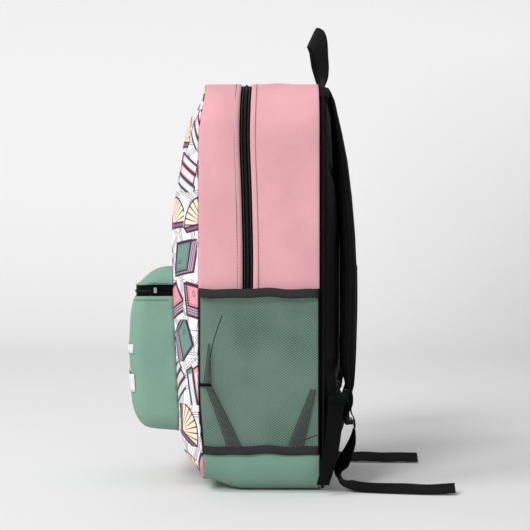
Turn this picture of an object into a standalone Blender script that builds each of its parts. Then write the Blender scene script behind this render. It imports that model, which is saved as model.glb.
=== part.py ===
"""School backpack: a zipped main bag, a zipped front pocket, two mesh side pockets, a webbing carry handle
and two padded shoulder straps with ladder-lock adjusters.

Metres, +Z up. The origin is the middle of the flat bottom. The front pocket faces -Y, the shoulder straps
are on the +Y side, and +X is the wearer's right. A name that ends in _r or _l is on the +X or -X side.
"""

from math import cos, pi, radians, sin, sqrt

import bmesh
import bpy
from mathutils import Matrix, Vector

# ---------------------------------------------------------------- driving dimensions
WIDTH = 0.305
HEIGHT = 0.457
GUSSET_DEPTH = 0.131
TOP_RADIUS = 0.055
BOTTOM_RADIUS = 0.045
FABRIC = 0.0018  # wall of one sewn panel
GAP = 0.0004  # clearance between pieces that meet

PANEL_BULGE = 0.0309  # how far the front panel domes out of its seam
FRONT_RISE = 0.011  # how far the bottom curves up at the front seam
SPLIT_Z = 0.222  # seam between the green base and the pink upper gusset
FOLD_Z = 0.2525  # line the unzipped front folds forward on, just above the pocket

ZIP_Y = -0.014
ZIP_HALF = 0.0060  # half of the gap that shows the zip tape
TAPE_HALF = 0.0120
TEETH_HALF = 0.0021
TAPE = 0.0008
SLIDER_START_X = 0.013

BACK_THICKNESS = 0.0135  # of the padded back at its edges
BACK_BULGE = 0.0155  # how much thicker the padded back is in its middle
STIFFENER = 0.0044
BACK_TOP_Z = 0.4385  # the yoke that holds the straps starts here

POCKET_HALF_WIDTH = 0.115
POCKET_ZIP_Z = 0.2235
POCKET_ZIP_HALF = 0.0067
POCKET_ZIP_Y = -0.1400  # the zip's face at the pocket's front
SEAM_GAP = 0.0007  # between the pocket's edges and the domed panel they are sewn to

WEBBING_WIDTH = 0.025
WEBBING = 0.0014
HANDLE_Y = 0.0735

STRAP_X = 0.100  # middle of the ladder-lock
LOCK_Z = 0.088
LOCK_Y = 0.099

BAG_CENTRE = Vector((0, 0, HEIGHT / 2))
FRONT_Y = -GUSSET_DEPTH / 2
BACK_Y = GUSSET_DEPTH / 2
PANEL_Y = FRONT_Y - 0.0026  # rim of the domed front panel, just in front of the gusset
BACK_FACE_Y = BACK_Y + BACK_THICKNESS

# colour, roughness, metallic
MATERIALS = {
    "pink_canvas": ((0.78, 0.39, 0.41), 0.85, 0.0),
    "green_canvas": ((0.19, 0.37, 0.28), 0.85, 0.0),
    "printed_canvas": ((0.86, 0.84, 0.86), 0.85, 0.0),
    "black_mesh": ((0.02, 0.02, 0.022), 0.9, 0.0),
    "black_webbing": ((0.018, 0.018, 0.02), 0.75, 0.0),
    "black_tape": ((0.02, 0.02, 0.022), 0.8, 0.0),
    "zip_teeth": ((0.03, 0.03, 0.033), 0.45, 0.0),
    "zip_metal": ((0.45, 0.45, 0.46), 0.35, 1.0),
    "black_plastic": ((0.016, 0.016, 0.018), 0.4, 0.0),
    "grey_lining": ((0.12, 0.12, 0.13), 0.8, 0.0),
    "foam": ((0.25, 0.25, 0.26), 0.9, 0.0),
}


# ---------------------------------------------------------------- scene helpers
def clear_scene():
    for old in list(bpy.data.objects):
        bpy.data.objects.remove(old)


def make_collection(name):
    collection = bpy.data.collections.new(name)
    bpy.context.scene.collection.children.link(collection)
    return collection


def material(name):
    if name in bpy.data.materials:
        return bpy.data.materials[name]
    made = bpy.data.materials.new(name)
    made.use_nodes = True
    colour, roughness, metallic = MATERIALS[name]
    shader = made.node_tree.nodes["Principled BSDF"]
    shader.inputs["Base Color"].default_value = (*colour, 1)
    shader.inputs["Roughness"].default_value = roughness
    shader.inputs["Metallic"].default_value = metallic
    return made


def add_object(name, mesh, material_name):
    made = bpy.data.objects.new(name, mesh)
    PARTS.objects.link(made)
    mesh.materials.append(material(material_name))
    return made


def add_cutter(name, low, high):
    """A box that a Boolean takes away or joins on; it isn't a part."""
    made = bpy.data.objects.new(name, box_mesh(name, low, high))
    CUTTERS.objects.link(made)
    made.hide_render = True
    made.display_type = "WIRE"
    return made


def attach(piece, empty):
    """The piece turns or slides with the empty, and stays where it is."""
    piece.parent = empty
    piece.matrix_parent_inverse = Matrix.Translation(empty.location).inverted()
    return piece


def joint_empty(name, location):
    empty = bpy.data.objects.new(name, None)
    empty.location = location
    PARTS.objects.link(empty)
    return empty


def box_mesh(name, low, high):
    low, high = Vector(low), Vector(high)
    bm = bmesh.new()
    bmesh.ops.create_cube(bm, size=1.0)
    bmesh.ops.scale(bm, vec=high - low, verts=bm.verts)
    bmesh.ops.translate(bm, vec=(low + high) / 2, verts=bm.verts)
    mesh = bpy.data.meshes.new(name)
    bm.to_mesh(mesh)
    bm.free()
    return mesh


def add_bevel(piece, width, segments=1, angle=40):
    bevel = piece.modifiers.new("Rounding", "BEVEL")
    bevel.width = width
    bevel.segments = segments
    bevel.limit_method = "ANGLE"
    bevel.angle_limit = radians(angle)
    return piece


def add_boolean(piece, other, operation="DIFFERENCE"):
    boolean = piece.modifiers.new(operation.title(), "BOOLEAN")
    boolean.operation = operation
    boolean.solver = "EXACT"
    boolean.object = other
    return piece


def add_solidify(piece, thickness):
    solidify = piece.modifiers.new("Thickness", "SOLIDIFY")
    solidify.thickness = thickness
    solidify.offset = -1
    solidify.use_even_offset = True
    return piece


def block(name, low, high, material_name, rounding=0.0):
    piece = add_object(name, box_mesh(name, low, high), material_name)
    return add_bevel(piece, rounding) if rounding else piece


def fabric_sheet(name, rows, material_name, thickness=FABRIC, inside=BAG_CENTRE, walls=()):
    """An open sheet through rows of points, thickened towards the inside point. walls are lists of corners
    that close its ends: an entry (row, column) is a grid point, and a Vector is a new one."""
    bm = bmesh.new()
    grid = [[bm.verts.new(point) for point in row] for row in rows]
    for near, far in zip(grid, grid[1:]):
        for a, b, c, d in zip(near, near[1:], far[1:], far):
            bm.faces.new((a, b, c, d))
    for wall in walls:
        bm.faces.new([bm.verts.new(p) if isinstance(p, Vector) else grid[p[0]][p[1]] for p in wall])
    if walls:
        bmesh.ops.remove_doubles(bm, verts=bm.verts, dist=1e-6)
        bmesh.ops.recalc_face_normals(bm, faces=bm.faces)
    bm.normal_update()
    facing = sum((f.calc_center_median() - inside).dot(f.normal) * f.calc_area() for f in bm.faces)
    if facing < 0:
        bmesh.ops.reverse_faces(bm, faces=bm.faces)
    mesh = bpy.data.meshes.new(name)
    bm.to_mesh(mesh)
    bm.free()
    piece = add_solidify(add_object(name, mesh, material_name), thickness)
    mesh.shade_smooth()
    return piece


def loft(name, sections, material_name):
    """A closed body through loops of points that all have the same count."""
    bm = bmesh.new()
    loops = [[bm.verts.new(point) for point in section] for section in sections]
    for near, far in zip(loops, loops[1:]):
        for i in range(len(near)):
            j = (i + 1) % len(near)
            bm.faces.new((near[i], near[j], far[j], far[i]))
    bm.faces.new(list(reversed(loops[0])))
    bm.faces.new(loops[-1])
    bmesh.ops.recalc_face_normals(bm, faces=bm.faces)
    mesh = bpy.data.meshes.new(name)
    bm.to_mesh(mesh)
    bm.free()
    mesh.shade_smooth()
    mesh.set_sharp_from_angle(angle=radians(35))
    return add_object(name, mesh, material_name)


def ribbon(name, centres, width_directions, material_name, width=WEBBING_WIDTH, thickness=WEBBING):
    """Flat webbing along a route. Each width direction is turned square to the route first."""
    sections = []
    for i, centre in enumerate(centres):
        along = (centres[min(i + 1, len(centres) - 1)] - centres[max(i - 1, 0)]).normalized()
        across = width_directions[i] - along * width_directions[i].dot(along)
        across = across.normalized() * width / 2
        out = along.cross(across).normalized() * thickness / 2
        sections.append([centre - across - out, centre + across - out, centre + across + out, centre - across + out])
    return loft(name, sections, material_name)


def plate(name, outline, y_front, y_back, material_name, rounding=0.0, segments=2):
    """A flat panel across the bag, from an (x, z) outline."""
    bm = bmesh.new()
    bm.faces.new([bm.verts.new((x, y_back, z)) for x, z in outline])
    bm.normal_update()
    face = bm.faces[:][0]
    if face.normal.y < 0:
        face.normal_flip()
    mesh = bpy.data.meshes.new(name)
    bm.to_mesh(mesh)
    bm.free()
    piece = add_solidify(add_object(name, mesh, material_name), y_back - y_front)
    if rounding:
        add_bevel(piece, rounding, segments)
    return piece


# ---------------------------------------------------------------- the bag's front-view outline
def smooth(t):
    t = min(max(t, 0.0), 1.0)
    return t * t * (3 - 2 * t)


def half_width(z, inset=0.0):
    """Half of the bag's width at height z, with its round corners."""
    half, top = WIDTH / 2 - inset, HEIGHT - inset
    for radius, depth in ((BOTTOM_RADIUS - inset, z - inset), (TOP_RADIUS - inset, top - z)):
        if depth < radius:
            return half - radius + sqrt(max(radius**2 - (radius - max(depth, 0)) ** 2, 0))
    return half


def corner_heights(inset=0.0, steps=5):
    """Heights that follow the bottom corner's arc, then the top corner's, low to high."""
    arc = [1 - cos(radians(90 * i / steps)) for i in range(steps + 1)]
    bottom = [inset + (BOTTOM_RADIUS - inset) * a for a in arc]
    top = [HEIGHT - inset - (TOP_RADIUS - inset) * a for a in reversed(arc)]
    return bottom, top


def arch(start_z, inset=0.0, steps=5):
    """(x, z) from the +X side at start_z, over the top, down to the -X side."""
    right = [start_z, (start_z + HEIGHT - TOP_RADIUS) / 2, *corner_heights(inset, steps)[1]]
    side = [(half_width(z, inset), z) for z in right]
    return [*side, (0.0, HEIGHT - inset), *[(-x, z) for x, z in reversed(side)]]


def trough(start_z, inset=0.0, steps=5):
    """(x, z) from the -X side at start_z, round the bottom, up to the +X side."""
    left = [start_z, (start_z + BOTTOM_RADIUS) / 2, *reversed(corner_heights(inset, steps)[0])]
    side = [(-half_width(z, inset), z) for z in left]
    return [*side, (0.0, inset), *[(-x, z) for x, z in reversed(side)]]


def panel_outline(low_z, high_z, inset, steps=5):
    bottom, top = corner_heights(inset, steps)
    heights = [low_z, *[z for z in (*bottom, *top) if low_z + 0.002 < z < high_z - 0.002], high_z]
    side = [(half_width(z, inset), z) for z in heights]
    return [*side, *[(-x, z) for x, z in reversed(side)]]


def rise(y, z):
    """How far the bottom curves up towards the front seam."""
    return FRONT_RISE * smooth((-0.015 - y) / 0.052) * max(0.0, 1 - z / 0.09)


# ---------------------------------------------------------------- main bag
def gusset_strip(name, path, depths, material_name, thickness=FABRIC):
    rows = [[Vector((x, y, z + rise(y, z))) for x, z in path] for y in depths]
    return fabric_sheet(name, rows, material_name, thickness)


def side_strip(name, side, low_z, high_z, depths, material_name, inset=0.0, thickness=FABRIC):
    x = side * (WIDTH / 2 - inset)
    rows = [[Vector((x, y, z)) for z in (low_z, high_z)] for y in depths]
    return fabric_sheet(name, rows, material_name, thickness)


def panel_depth(x, z):
    """Y of the front panel's outer face. It rolls over from each side seam and from the top, is fullest just
    above the pocket and slopes back to the bottom."""
    across = 1 - (1 - min((half_width(z) - abs(x)) / 0.055, 1)) ** 2.2
    below_top = min((HEIGHT - z) / 0.165, 1)
    down = (1 - (1 - below_top) ** 1.55) * smooth(below_top / 0.27)
    up = 0.7 * (1 - (1 - min(z / 0.062, 1)) ** 1.6) + 0.3 * smooth(z / FOLD_Z)
    return PANEL_Y - PANEL_BULGE * across * min(down, up)


def front_panel(name, heights):
    columns = [-1, -0.94, -0.84, -0.7, -0.4, 0, 0.4, 0.7, 0.84, 0.94, 1]
    rows = []
    for z in heights:
        row = []
        for share in columns:
            x = share * half_width(z)
            y = panel_depth(x, z)
            row.append(Vector((x, y, z + rise(y, z))))
        rows.append(row)
    return fabric_sheet(name, rows, "printed_canvas")


def build_shell():
    bottom, top = corner_heights(steps=4)
    front_panel("front_panel_lower", [*bottom, 0.075, 0.115, 0.165, 0.21, FOLD_Z - GAP])
    base_depths = [FRONT_Y, -0.052, -0.038, -0.022, -0.012, 0.03, BACK_Y]
    gusset_strip("gusset_base", trough(SPLIT_Z), base_depths, "green_canvas")
    rear_depths = [ZIP_Y + ZIP_HALF, 0.03, BACK_Y]
    gusset_strip("gusset_rear", arch(SPLIT_Z + GAP), rear_depths, "pink_canvas")
    for side, tag in ((1, "r"), (-1, "l")):
        side_strip(f"gusset_front_lower_{tag}", side, SPLIT_Z + GAP, FOLD_Z - GAP,
                   [FRONT_Y, ZIP_Y - ZIP_HALF], "pink_canvas")
    stiffener = panel_outline(0.006, BACK_TOP_Z - 0.002, 0.006)
    plate("back_stiffener", stiffener, BACK_Y + GAP, BACK_Y + STIFFENER, "foam")
    back_pad()
    strap_yoke()

    front = [FOLD_Z, 0.29, 0.33, 0.37, *top]
    flap_pieces = [
        front_panel("front_panel_upper", front),
        gusset_strip("gusset_front", arch(FOLD_Z), [FRONT_Y, ZIP_Y - ZIP_HALF], "pink_canvas"),
    ]
    return flap_pieces


def back_depth(x, z):
    """Y of the padded back's outer face, which bulges in the middle."""
    across = 1 - (x / (WIDTH / 2)) ** 2
    up = smooth((BACK_TOP_Z - 0.015 - z) / 0.14) * smooth((z - 0.02) / 0.12)
    return BACK_FACE_Y + BACK_BULGE * across * up


def back_pad():
    low, high, inset = 0.004, BACK_TOP_Z, 0.0025
    bottom, top = corner_heights(inset, 3)
    bends = [z for z in [*bottom, *top] if low < z < high]
    heights = sorted({low, *bends, *[low + (high - low) * step / 9 for step in range(1, 10)]})
    right = [(half_width(z, inset), z) for z in heights]
    outline = [*right, *[(-x, z) for x, z in reversed(right)]]
    middle_z = (low + high) / 2
    inner_y = BACK_Y + STIFFENER + GAP
    sections = [[Vector((x, inner_y, z)) for x, z in outline]]
    for share, drop in ((1.0, 0.004), (0.965, 0.0), (0.85, 0.0), (0.65, 0.0), (0.4, 0.0), (0.15, 0.0)):
        ring = [(x * share, middle_z + (z - middle_z) * share) for x, z in outline]
        sections.append([Vector((x, back_depth(x, z) - drop, z)) for x, z in ring])
    return loft("back_panel", sections, "black_mesh")


def strap_yoke():
    """A band across the top of the back that slopes down from the top seam to the straps."""
    low, high = BACK_TOP_Z + GAP, HEIGHT - 0.0006
    sections = []
    for y, top in ((BACK_Y + GAP, high), (BACK_Y + 0.0075, high - 0.0012), (BACK_Y + 0.0120, high - 0.0050),
                   (BACK_FACE_Y - 0.0005, high - 0.0110)):
        heights = [low + (top - low) * step / 4 for step in range(5)]
        right = [(half_width(z, 0.0006) - (y - BACK_Y) * 0.35, z) for z in heights]
        sections.append([Vector((x, y, z)) for x, z in [*right, *[(-x, z) for x, z in reversed(right)]]])
    return loft("strap_yoke", sections, "black_mesh")


def build_interior():
    block("base_pad", (-0.100, -0.012, 0.0024), (0.100, 0.060, 0.0064), "foam", 0.001)
    lining = panel_outline(0.010, HEIGHT - 0.012, 0.004)
    plate("back_lining", lining, BACK_Y - 0.0016, BACK_Y - 0.0006, "grey_lining")
    half, front, wall = 0.128, BACK_Y - 0.019, 0.003
    low, high = 0.030, 0.300
    sleeve = block("laptop_sleeve", (-half, front, low), (half, BACK_Y - 0.002, high), "grey_lining", 0.001)
    room = add_cutter("sleeve_room", (wall - half, front + wall, low + wall), (half - wall, 0.2, high + 0.1))
    add_boolean(sleeve, room)
    block("sleeve_binding", (-half, front, high + GAP), (half, front + wall, high + 0.009), "black_tape", 0.001)


# ---------------------------------------------------------------- main zip
def build_main_zip():
    tape_inset, teeth_inset = FABRIC + GAP, GAP
    tape = [ZIP_Y + GAP / 2, ZIP_Y + TAPE_HALF]
    teeth = [ZIP_Y + GAP / 2, ZIP_Y + TEETH_HALF]
    front_tape = [2 * ZIP_Y - y for y in tape]
    front_teeth = [2 * ZIP_Y - y for y in teeth]
    gusset_strip("zip_tape_rear", arch(SPLIT_Z + GAP, tape_inset), tape, "black_tape", TAPE)
    gusset_strip("zip_teeth_rear", arch(SPLIT_Z + GAP, teeth_inset), teeth, "zip_teeth", FABRIC - GAP)
    for side, tag in ((1, "r"), (-1, "l")):
        side_strip(f"zip_end_{tag}", side, SPLIT_Z + GAP, FOLD_Z - GAP, front_tape, "black_tape",
                   tape_inset, TAPE)
    return [
        gusset_strip("zip_tape_front", arch(FOLD_Z, tape_inset), front_tape, "black_tape", TAPE),
        gusset_strip("zip_teeth_front", arch(FOLD_Z, teeth_inset), front_teeth, "zip_teeth", FABRIC - GAP),
    ]


def slider_body(name, place, crown_turn=0.0):
    """A zip slider: its travel is local X and the chain lies under local Z = 0. The pull's pin runs along local Y
    through the crown, which crown_turn turns about local Z. place is its 4x4 matrix."""
    shoe = add_object(name, box_mesh(name, (-0.0065, -0.0046, 0.0), (0.0065, 0.0046, 0.0040)), "zip_metal")
    add_bevel(shoe, 0.0010)
    crown = add_cutter(f"{name}_crown", (-0.0042, -0.0010, 0.0030), (0.0042, 0.0010, 0.0086))
    eye = add_cutter(f"{name}_eye", (-0.0021, -0.0030, 0.0046), (0.0021, 0.0030, 0.0073))
    add_boolean(shoe, crown, "UNION")
    add_boolean(shoe, eye)
    shoe.matrix_world = place
    for piece in (crown, eye):
        piece.matrix_world = place @ Matrix.Rotation(crown_turn, 4, "Z")
    return shoe


def slider_pull(name, place, length=0.025):
    """A flat tab whose end bar passes through the crown's eye; its origin is the pin."""
    tab = add_object(name, box_mesh(name, (-0.0007, -0.0036, -0.0008), (length, 0.0036, 0.0008)), "zip_metal")
    window = add_cutter(f"{name}_window", (0.0007, -0.0021, -0.002), (0.0058, 0.0021, 0.002))
    grip = add_cutter(f"{name}_grip", (length - 0.0085, -0.0017, -0.002), (length - 0.0030, 0.0017, 0.002))
    for cutter in (window, grip):
        add_boolean(tab, cutter)
    for piece in (tab, window, grip):
        piece.matrix_world = place
    return tab


PIN_HEIGHT = 0.00595  # of the pull's pin above the chain
PULL_TILT = 8  # degrees the top pulls droop at rest
HANGING_PULL_TILT = 5  # degrees the pocket's pull stands off the fabric


def build_main_sliders(flap):
    for side, tag in ((1, "r"), (-1, "l")):
        spot = Vector((side * SLIDER_START_X, ZIP_Y, HEIGHT))
        facing = Matrix.Rotation(0 if side > 0 else pi, 4, "Z")
        carriage = joint_empty(f"slider_axis_{tag}", spot)
        attach(slider_body(f"zip_slider_{tag}", Matrix.Translation(spot) @ facing), carriage)
        pin = spot + Vector((0, 0, PIN_HEIGHT))
        droop = Matrix.Rotation(radians(PULL_TILT), 4, "Y")
        hinge = joint_empty(f"pull_axis_{tag}", pin)
        attach(slider_pull(f"zip_pull_{tag}", Matrix.Translation(pin) @ facing @ droop), hinge)
        for axis in (carriage, hinge):
            axis.parent = flap
            axis.matrix_parent_inverse = Matrix.Translation(flap.location).inverted()


# ---------------------------------------------------------------- front pocket
# Side profiles of the pocket, (y, z), from its zip down round the bottom to the panel, and over the cap.
BAG_PROFILE = [(-0.1400, 0.2168), (-0.1436, 0.2040), (-0.1452, 0.1850), (-0.1456, 0.1550), (-0.1444, 0.1283),
               (-0.1427, 0.1006), (-0.1376, 0.0833), (-0.1301, 0.0731), (-0.1240, 0.0690), (-0.1090, 0.0662),
               (0.0, 0.0630)]
CAP_PROFILE = [(-0.1376, 0.2303), (-0.1340, 0.2330), (-0.1276, 0.2396), (-0.1225, 0.2440), (-0.1135, 0.2492),
               (0.0, 0.2508)]
# How far the profile has pulled in at each station across the pocket, so that its corners are round.
STATIONS = [(1.0, 0.012), (0.975, 0.0045), (0.92, 0.001), (0.82, 0.0), (0.4, 0.0)]


def across_stations():
    """(x, pull-in) from +X to -X."""
    right = [(share * POCKET_HALF_WIDTH, pull) for share, pull in STATIONS]
    return [*right, (0.0, 0.0), *[(-x, pull) for x, pull in reversed(right)]]


def sewn_y(x, z):
    """Where a pocket edge at x, z meets the front panel."""
    return panel_depth(x, z) - SEAM_GAP


def pocket_shell(name, profile, edge_z, empty_point):
    """The profile swept across the pocket, with a wall at each end that reaches back to the panel."""
    rows = []
    for x, pull in across_stations():
        rows.append([Vector((x, min(y + pull, sewn_y(x, z)), z)) for y, z in profile])
    walls = []
    for row in (0, len(rows) - 1):
        x = rows[row][0].x
        low, high = rows[row][-1].z, edge_z
        seam = [low + (high - low) * step / 5 for step in range(1, 6)]
        wall = [(row, i) for i in range(len(profile))]
        walls.append([*wall, *[Vector((x, sewn_y(x, z), z)) for z in seam]])
    return fabric_sheet(name, rows, "green_canvas", inside=empty_point, walls=walls)


def pocket_track(inset):
    """The (x, y) line of the pocket's zip from the +X panel seam round the front, moved inwards by inset."""
    front_y = POCKET_ZIP_Y
    seam = sewn_y(POCKET_HALF_WIDTH, POCKET_ZIP_Z)
    corner = [(x, front_y + pull) for x, pull in across_stations()]
    line = [Vector(p) for p in [(POCKET_HALF_WIDTH, seam), *corner, (-POCKET_HALF_WIDTH, seam)]]
    moved = []
    for i, point in enumerate(line):
        back = (point - line[i - 1]).normalized() if i else None
        ahead = (line[i + 1] - point).normalized() if i < len(line) - 1 else None
        back, ahead = back or ahead, ahead or back
        mitre = (back + ahead).normalized()
        inward = Vector((mitre.y, -mitre.x))
        moved.append(point + inward * inset / inward.dot(Vector((back.y, -back.x))))
    return moved


def pocket_band(name, inset, low_z, high_z, material_name, thickness):
    line = pocket_track(inset)
    rows = [[Vector((x, y, z)) for x, y in line] for z in (low_z, high_z)]
    return fabric_sheet(name, rows, material_name, thickness, Vector((0, -0.1, POCKET_ZIP_Z)))


def build_pocket():
    inner = Vector((0, -0.112, 0.16))
    low, high = POCKET_ZIP_Z - POCKET_ZIP_HALF, POCKET_ZIP_Z + POCKET_ZIP_HALF - 0.0018
    pocket_shell("pocket_bag", BAG_PROFILE, BAG_PROFILE[0][1], inner)
    pocket_band("pocket_tape_lower", 0.0026, low, POCKET_ZIP_Z - GAP / 2, "black_tape", TAPE)
    pocket_band("pocket_teeth_lower", 0.0007, POCKET_ZIP_Z - 0.0018, POCKET_ZIP_Z - GAP / 2, "zip_teeth", 0.0014)
    for side, tag in ((1, "r"), (-1, "l")):
        x_in, x_out = POCKET_HALF_WIDTH + 0.0002, POCKET_HALF_WIDTH + 0.0016
        low_x, high_x = sorted((side * x_in, side * x_out))
        block(f"pocket_zip_stop_{tag}", (low_x, -0.1186, POCKET_ZIP_Z - 0.0031),
              (high_x, -0.1150, POCKET_ZIP_Z + 0.0031), "zip_metal", 0.0003)

    cap = joint_empty("pocket_cap_axis", (0, -0.0970, 0.2506))
    cap_pieces = [
        pocket_shell("pocket_cap", CAP_PROFILE, CAP_PROFILE[0][1], Vector((0, -0.110, 0.236))),
        pocket_band("pocket_tape_upper", 0.0026, POCKET_ZIP_Z + GAP / 2, high, "black_tape", TAPE),
        pocket_band("pocket_teeth_upper", 0.0007, POCKET_ZIP_Z + GAP / 2, POCKET_ZIP_Z + 0.0018, "zip_teeth", 0.0014),
    ]
    spot = Vector((-0.078, POCKET_ZIP_Y - 0.0001, POCKET_ZIP_Z))
    outward = Matrix.Rotation(pi / 2, 4, "X")  # local Z turned to face -Y, local Y to face +Z
    down = Matrix.Rotation(-pi / 2, 4, "Z")
    place = Matrix.Translation(spot) @ outward
    carriage = joint_empty("pocket_slider_axis", spot)
    attach(slider_body("pocket_slider", place, -pi / 2), carriage)
    pin = spot + Vector((0, -PIN_HEIGHT, 0))
    lift = Matrix.Rotation(radians(-HANGING_PULL_TILT), 4, "Y")
    hinge = joint_empty("pocket_pull_axis", pin)
    attach(slider_pull("pocket_pull", Matrix.Translation(pin) @ outward @ down @ lift), hinge)
    for piece in cap_pieces:
        attach(piece, cap)
    for axis in (carriage, hinge):
        axis.parent = cap
        axis.matrix_parent_inverse = Matrix.Translation(cap.location).inverted()


# ---------------------------------------------------------------- mesh side pockets
MESH_LOW_Z, MESH_HIGH_Z = 0.0535, 0.2165
ELASTIC_HIGH_Z = 0.2262
BINDING_LOW_Z = 0.0440
MESH_GAP = 0.0009  # between gusset and pocket where they are sewn
MESH_BULGE = 0.0095


def mesh_rows(side, low_z, high_z, steps):
    rows = []
    for i in range(steps + 1):
        z = low_z + (high_z - low_z) * i / steps
        open_share = 0.15 + 0.85 * smooth((z - BINDING_LOW_Z) / 0.10)
        row = []
        for j in range(9):
            angle = pi * j / 8
            y = -cos(angle) * (GUSSET_DEPTH / 2 - 0.001)
            x = WIDTH / 2 + MESH_GAP + FABRIC * 0.6 + MESH_BULGE * open_share * sin(angle) ** 0.8
            row.append(Vector((side * x, y, z)))
        rows.append(row)
    return rows


def build_side_pockets():
    for side, tag in ((1, "r"), (-1, "l")):
        fabric_sheet(f"mesh_pocket_{tag}", mesh_rows(side, MESH_LOW_Z, MESH_HIGH_Z, 5), "black_mesh", 0.001)
        fabric_sheet(f"mesh_elastic_{tag}", mesh_rows(side, MESH_HIGH_Z + GAP, ELASTIC_HIGH_Z, 1),
                     "black_tape", 0.0016)
        fabric_sheet(f"mesh_binding_{tag}", mesh_rows(side, BINDING_LOW_Z, MESH_LOW_Z - GAP, 1),
                     "black_tape", 0.0014)


# ---------------------------------------------------------------- carry handle
# The +X half of the handle: x, y, z, then the width's direction. The webbing is sewn in flat at its foot, and
# twists until the grip leans forwards.
HANDLE_RUN = [
    (0.0450, 0.0735, 0.4580, 1, 0, 0), (0.0462, 0.0752, 0.4690, 0.95, 0.30, 0), (0.0470, 0.0745, 0.4810, 0.86, 0.50, 0),
    (0.0455, 0.0722, 0.4960, 0.74, 0.62, 0.1), (0.0400, 0.0708, 0.5100, 0.55, 0.66, 0.4),
    (0.0300, 0.0688, 0.5190, 0.32, 0.60, 0.65), (0.0160, 0.0650, 0.5240, 0.12, 0.48, 0.84),
    (0.0000, 0.0630, 0.5252, 0, 0.42, 0.9),
]


def build_handle():
    far = [(-x, y, z, -u, v, w) for x, y, z, u, v, w in reversed(HANDLE_RUN[:-1])]
    axis = joint_empty("handle_axis", (0, HANDLE_Y, HEIGHT + 0.001))
    route = webbing_route(1, [*HANDLE_RUN, *far])
    attach(ribbon("carry_handle", *route, "black_webbing", WEBBING_WIDTH, 0.0022), axis)


# ---------------------------------------------------------------- shoulder straps
# z, y of the outer face, thickness, x of the middle, width: the pad's sections from the yoke down.
PAD_SECTIONS = [
    (0.4420, 0.0862, 0.0036, 0.056, 0.060), (0.4300, 0.0886, 0.0056, 0.058, 0.064),
    (0.4010, 0.0948, 0.0100, 0.063, 0.067), (0.3700, 0.1004, 0.0118, 0.069, 0.067),
    (0.3300, 0.1048, 0.0120, 0.076, 0.066), (0.2880, 0.1080, 0.0120, 0.083, 0.065),
    (0.2460, 0.1096, 0.0120, 0.089, 0.063), (0.2050, 0.1092, 0.0120, 0.094, 0.058),
    (0.1700, 0.1082, 0.0115, 0.097, 0.050), (0.1400, 0.1070, 0.0100, 0.099, 0.040),
    (0.1185, 0.1052, 0.0068, 0.100, 0.030),
]


def pad_section(side, z, outer_y, thick, middle_x, width):
    """A flat octagon: the pad's edges are thinner than its middle."""
    half, edge = width / 2, thick * 0.26
    middle_y = outer_y - thick / 2
    points = [(-half, -edge), (-half * 0.8, -thick / 2), (half * 0.8, -thick / 2), (half, -edge),
              (half, edge), (half * 0.8, thick / 2), (-half * 0.8, thick / 2), (-half, edge)]
    return [Vector((side * middle_x + x, middle_y + y, z)) for x, y in points]


def webbing_route(side, stops):
    """Splits stops (x, y, z, width x, y, z) into the route and its width directions on one side."""
    centres = [Vector((side * x, y, z)) for x, y, z, *_ in stops]
    widths = [Vector((side * u, v, w)) for *_, u, v, w in stops]
    return centres, widths


def ladder_lock(name, side):
    """A plastic frame with an upper and a lower slot, a middle bar, and a lip to lift it by."""
    x, half_w, half_h = side * STRAP_X, 0.0185, 0.0158
    frame = block(name, (x - half_w, LOCK_Y - 0.0025, LOCK_Z - half_h), (x + half_w, LOCK_Y + 0.0025, LOCK_Z + half_h),
                  "black_plastic", 0.0012)
    lip = add_cutter(f"{name}_lip", (x - half_w + 0.002, LOCK_Y - 0.001, LOCK_Z - half_h + 0.0004),
                     (x + half_w - 0.002, LOCK_Y + 0.0068, LOCK_Z - half_h + 0.0052))
    add_boolean(frame, lip, "UNION")
    for label, low, high in (("upper", 0.003, 0.0103), ("lower", -0.0098, -0.003)):
        slot = add_cutter(f"{name}_{label}_slot", (x - 0.0140, LOCK_Y - 0.02, LOCK_Z + low),
                          (x + 0.0140, LOCK_Y + 0.02, LOCK_Z + high))
        add_boolean(frame, slot)
    return frame


# Stops of the webbing: x, y, z, then the width's direction. The sewn run lies on the pad and loops the
# lock's top bar.
SEWN_RUN = [
    (0.0885, 0.1110, 0.2500, 1, 0, 0), (0.0940, 0.1107, 0.2050, 1, 0, 0), (0.0970, 0.1096, 0.1700, 1, 0, 0),
    (0.0990, 0.1083, 0.1400, 1, 0, 0), (0.1000, 0.1066, 0.1180, 1, 0, 0), (0.1000, 0.1046, 0.1090, 1, 0, 0),
    (0.1000, 0.1036, 0.1020, 1, 0, 0), (0.1000, 0.1025, 0.0972, 1, 0, 0), (0.1000, 0.0990, 0.0952, 1, 0, 0),
    (0.1000, 0.0955, 0.0972, 1, 0, 0), (0.1000, 0.0946, 0.1030, 1, 0, 0), (0.1000, 0.0962, 0.1100, 1, 0, 0),
    (0.1000, 0.0985, 0.1170, 1, 0, 0),
]
# From the side seam up beside the back panel, then in behind the lock.
ADJUSTER_RUN = [
    (0.1590, 0.0745, 0.0150, -0.80, 0.60, 0), (0.1585, 0.0800, 0.0400, -0.75, 0.66, 0),
    (0.1580, 0.0855, 0.0650, -0.60, 0.80, 0), (0.1560, 0.0900, 0.0880, -0.45, 0.85, 0.1),
    (0.1525, 0.0925, 0.1030, -0.35, 0.90, 0.25), (0.1450, 0.0940, 0.1110, -0.10, 0.95, 0.3),
    (0.1370, 0.0950, 0.1080, 0.35, 0.85, 0.4), (0.1300, 0.0940, 0.0990, 0.70, 0.60, 0.4),
    (0.1220, 0.0910, 0.0900, 0.90, 0.30, 0.3), (0.1130, 0.0896, 0.0820, 1, 0.05, 0.2),
    (0.1030, 0.0899, 0.0740, 1, 0, 0.1),
]
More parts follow.
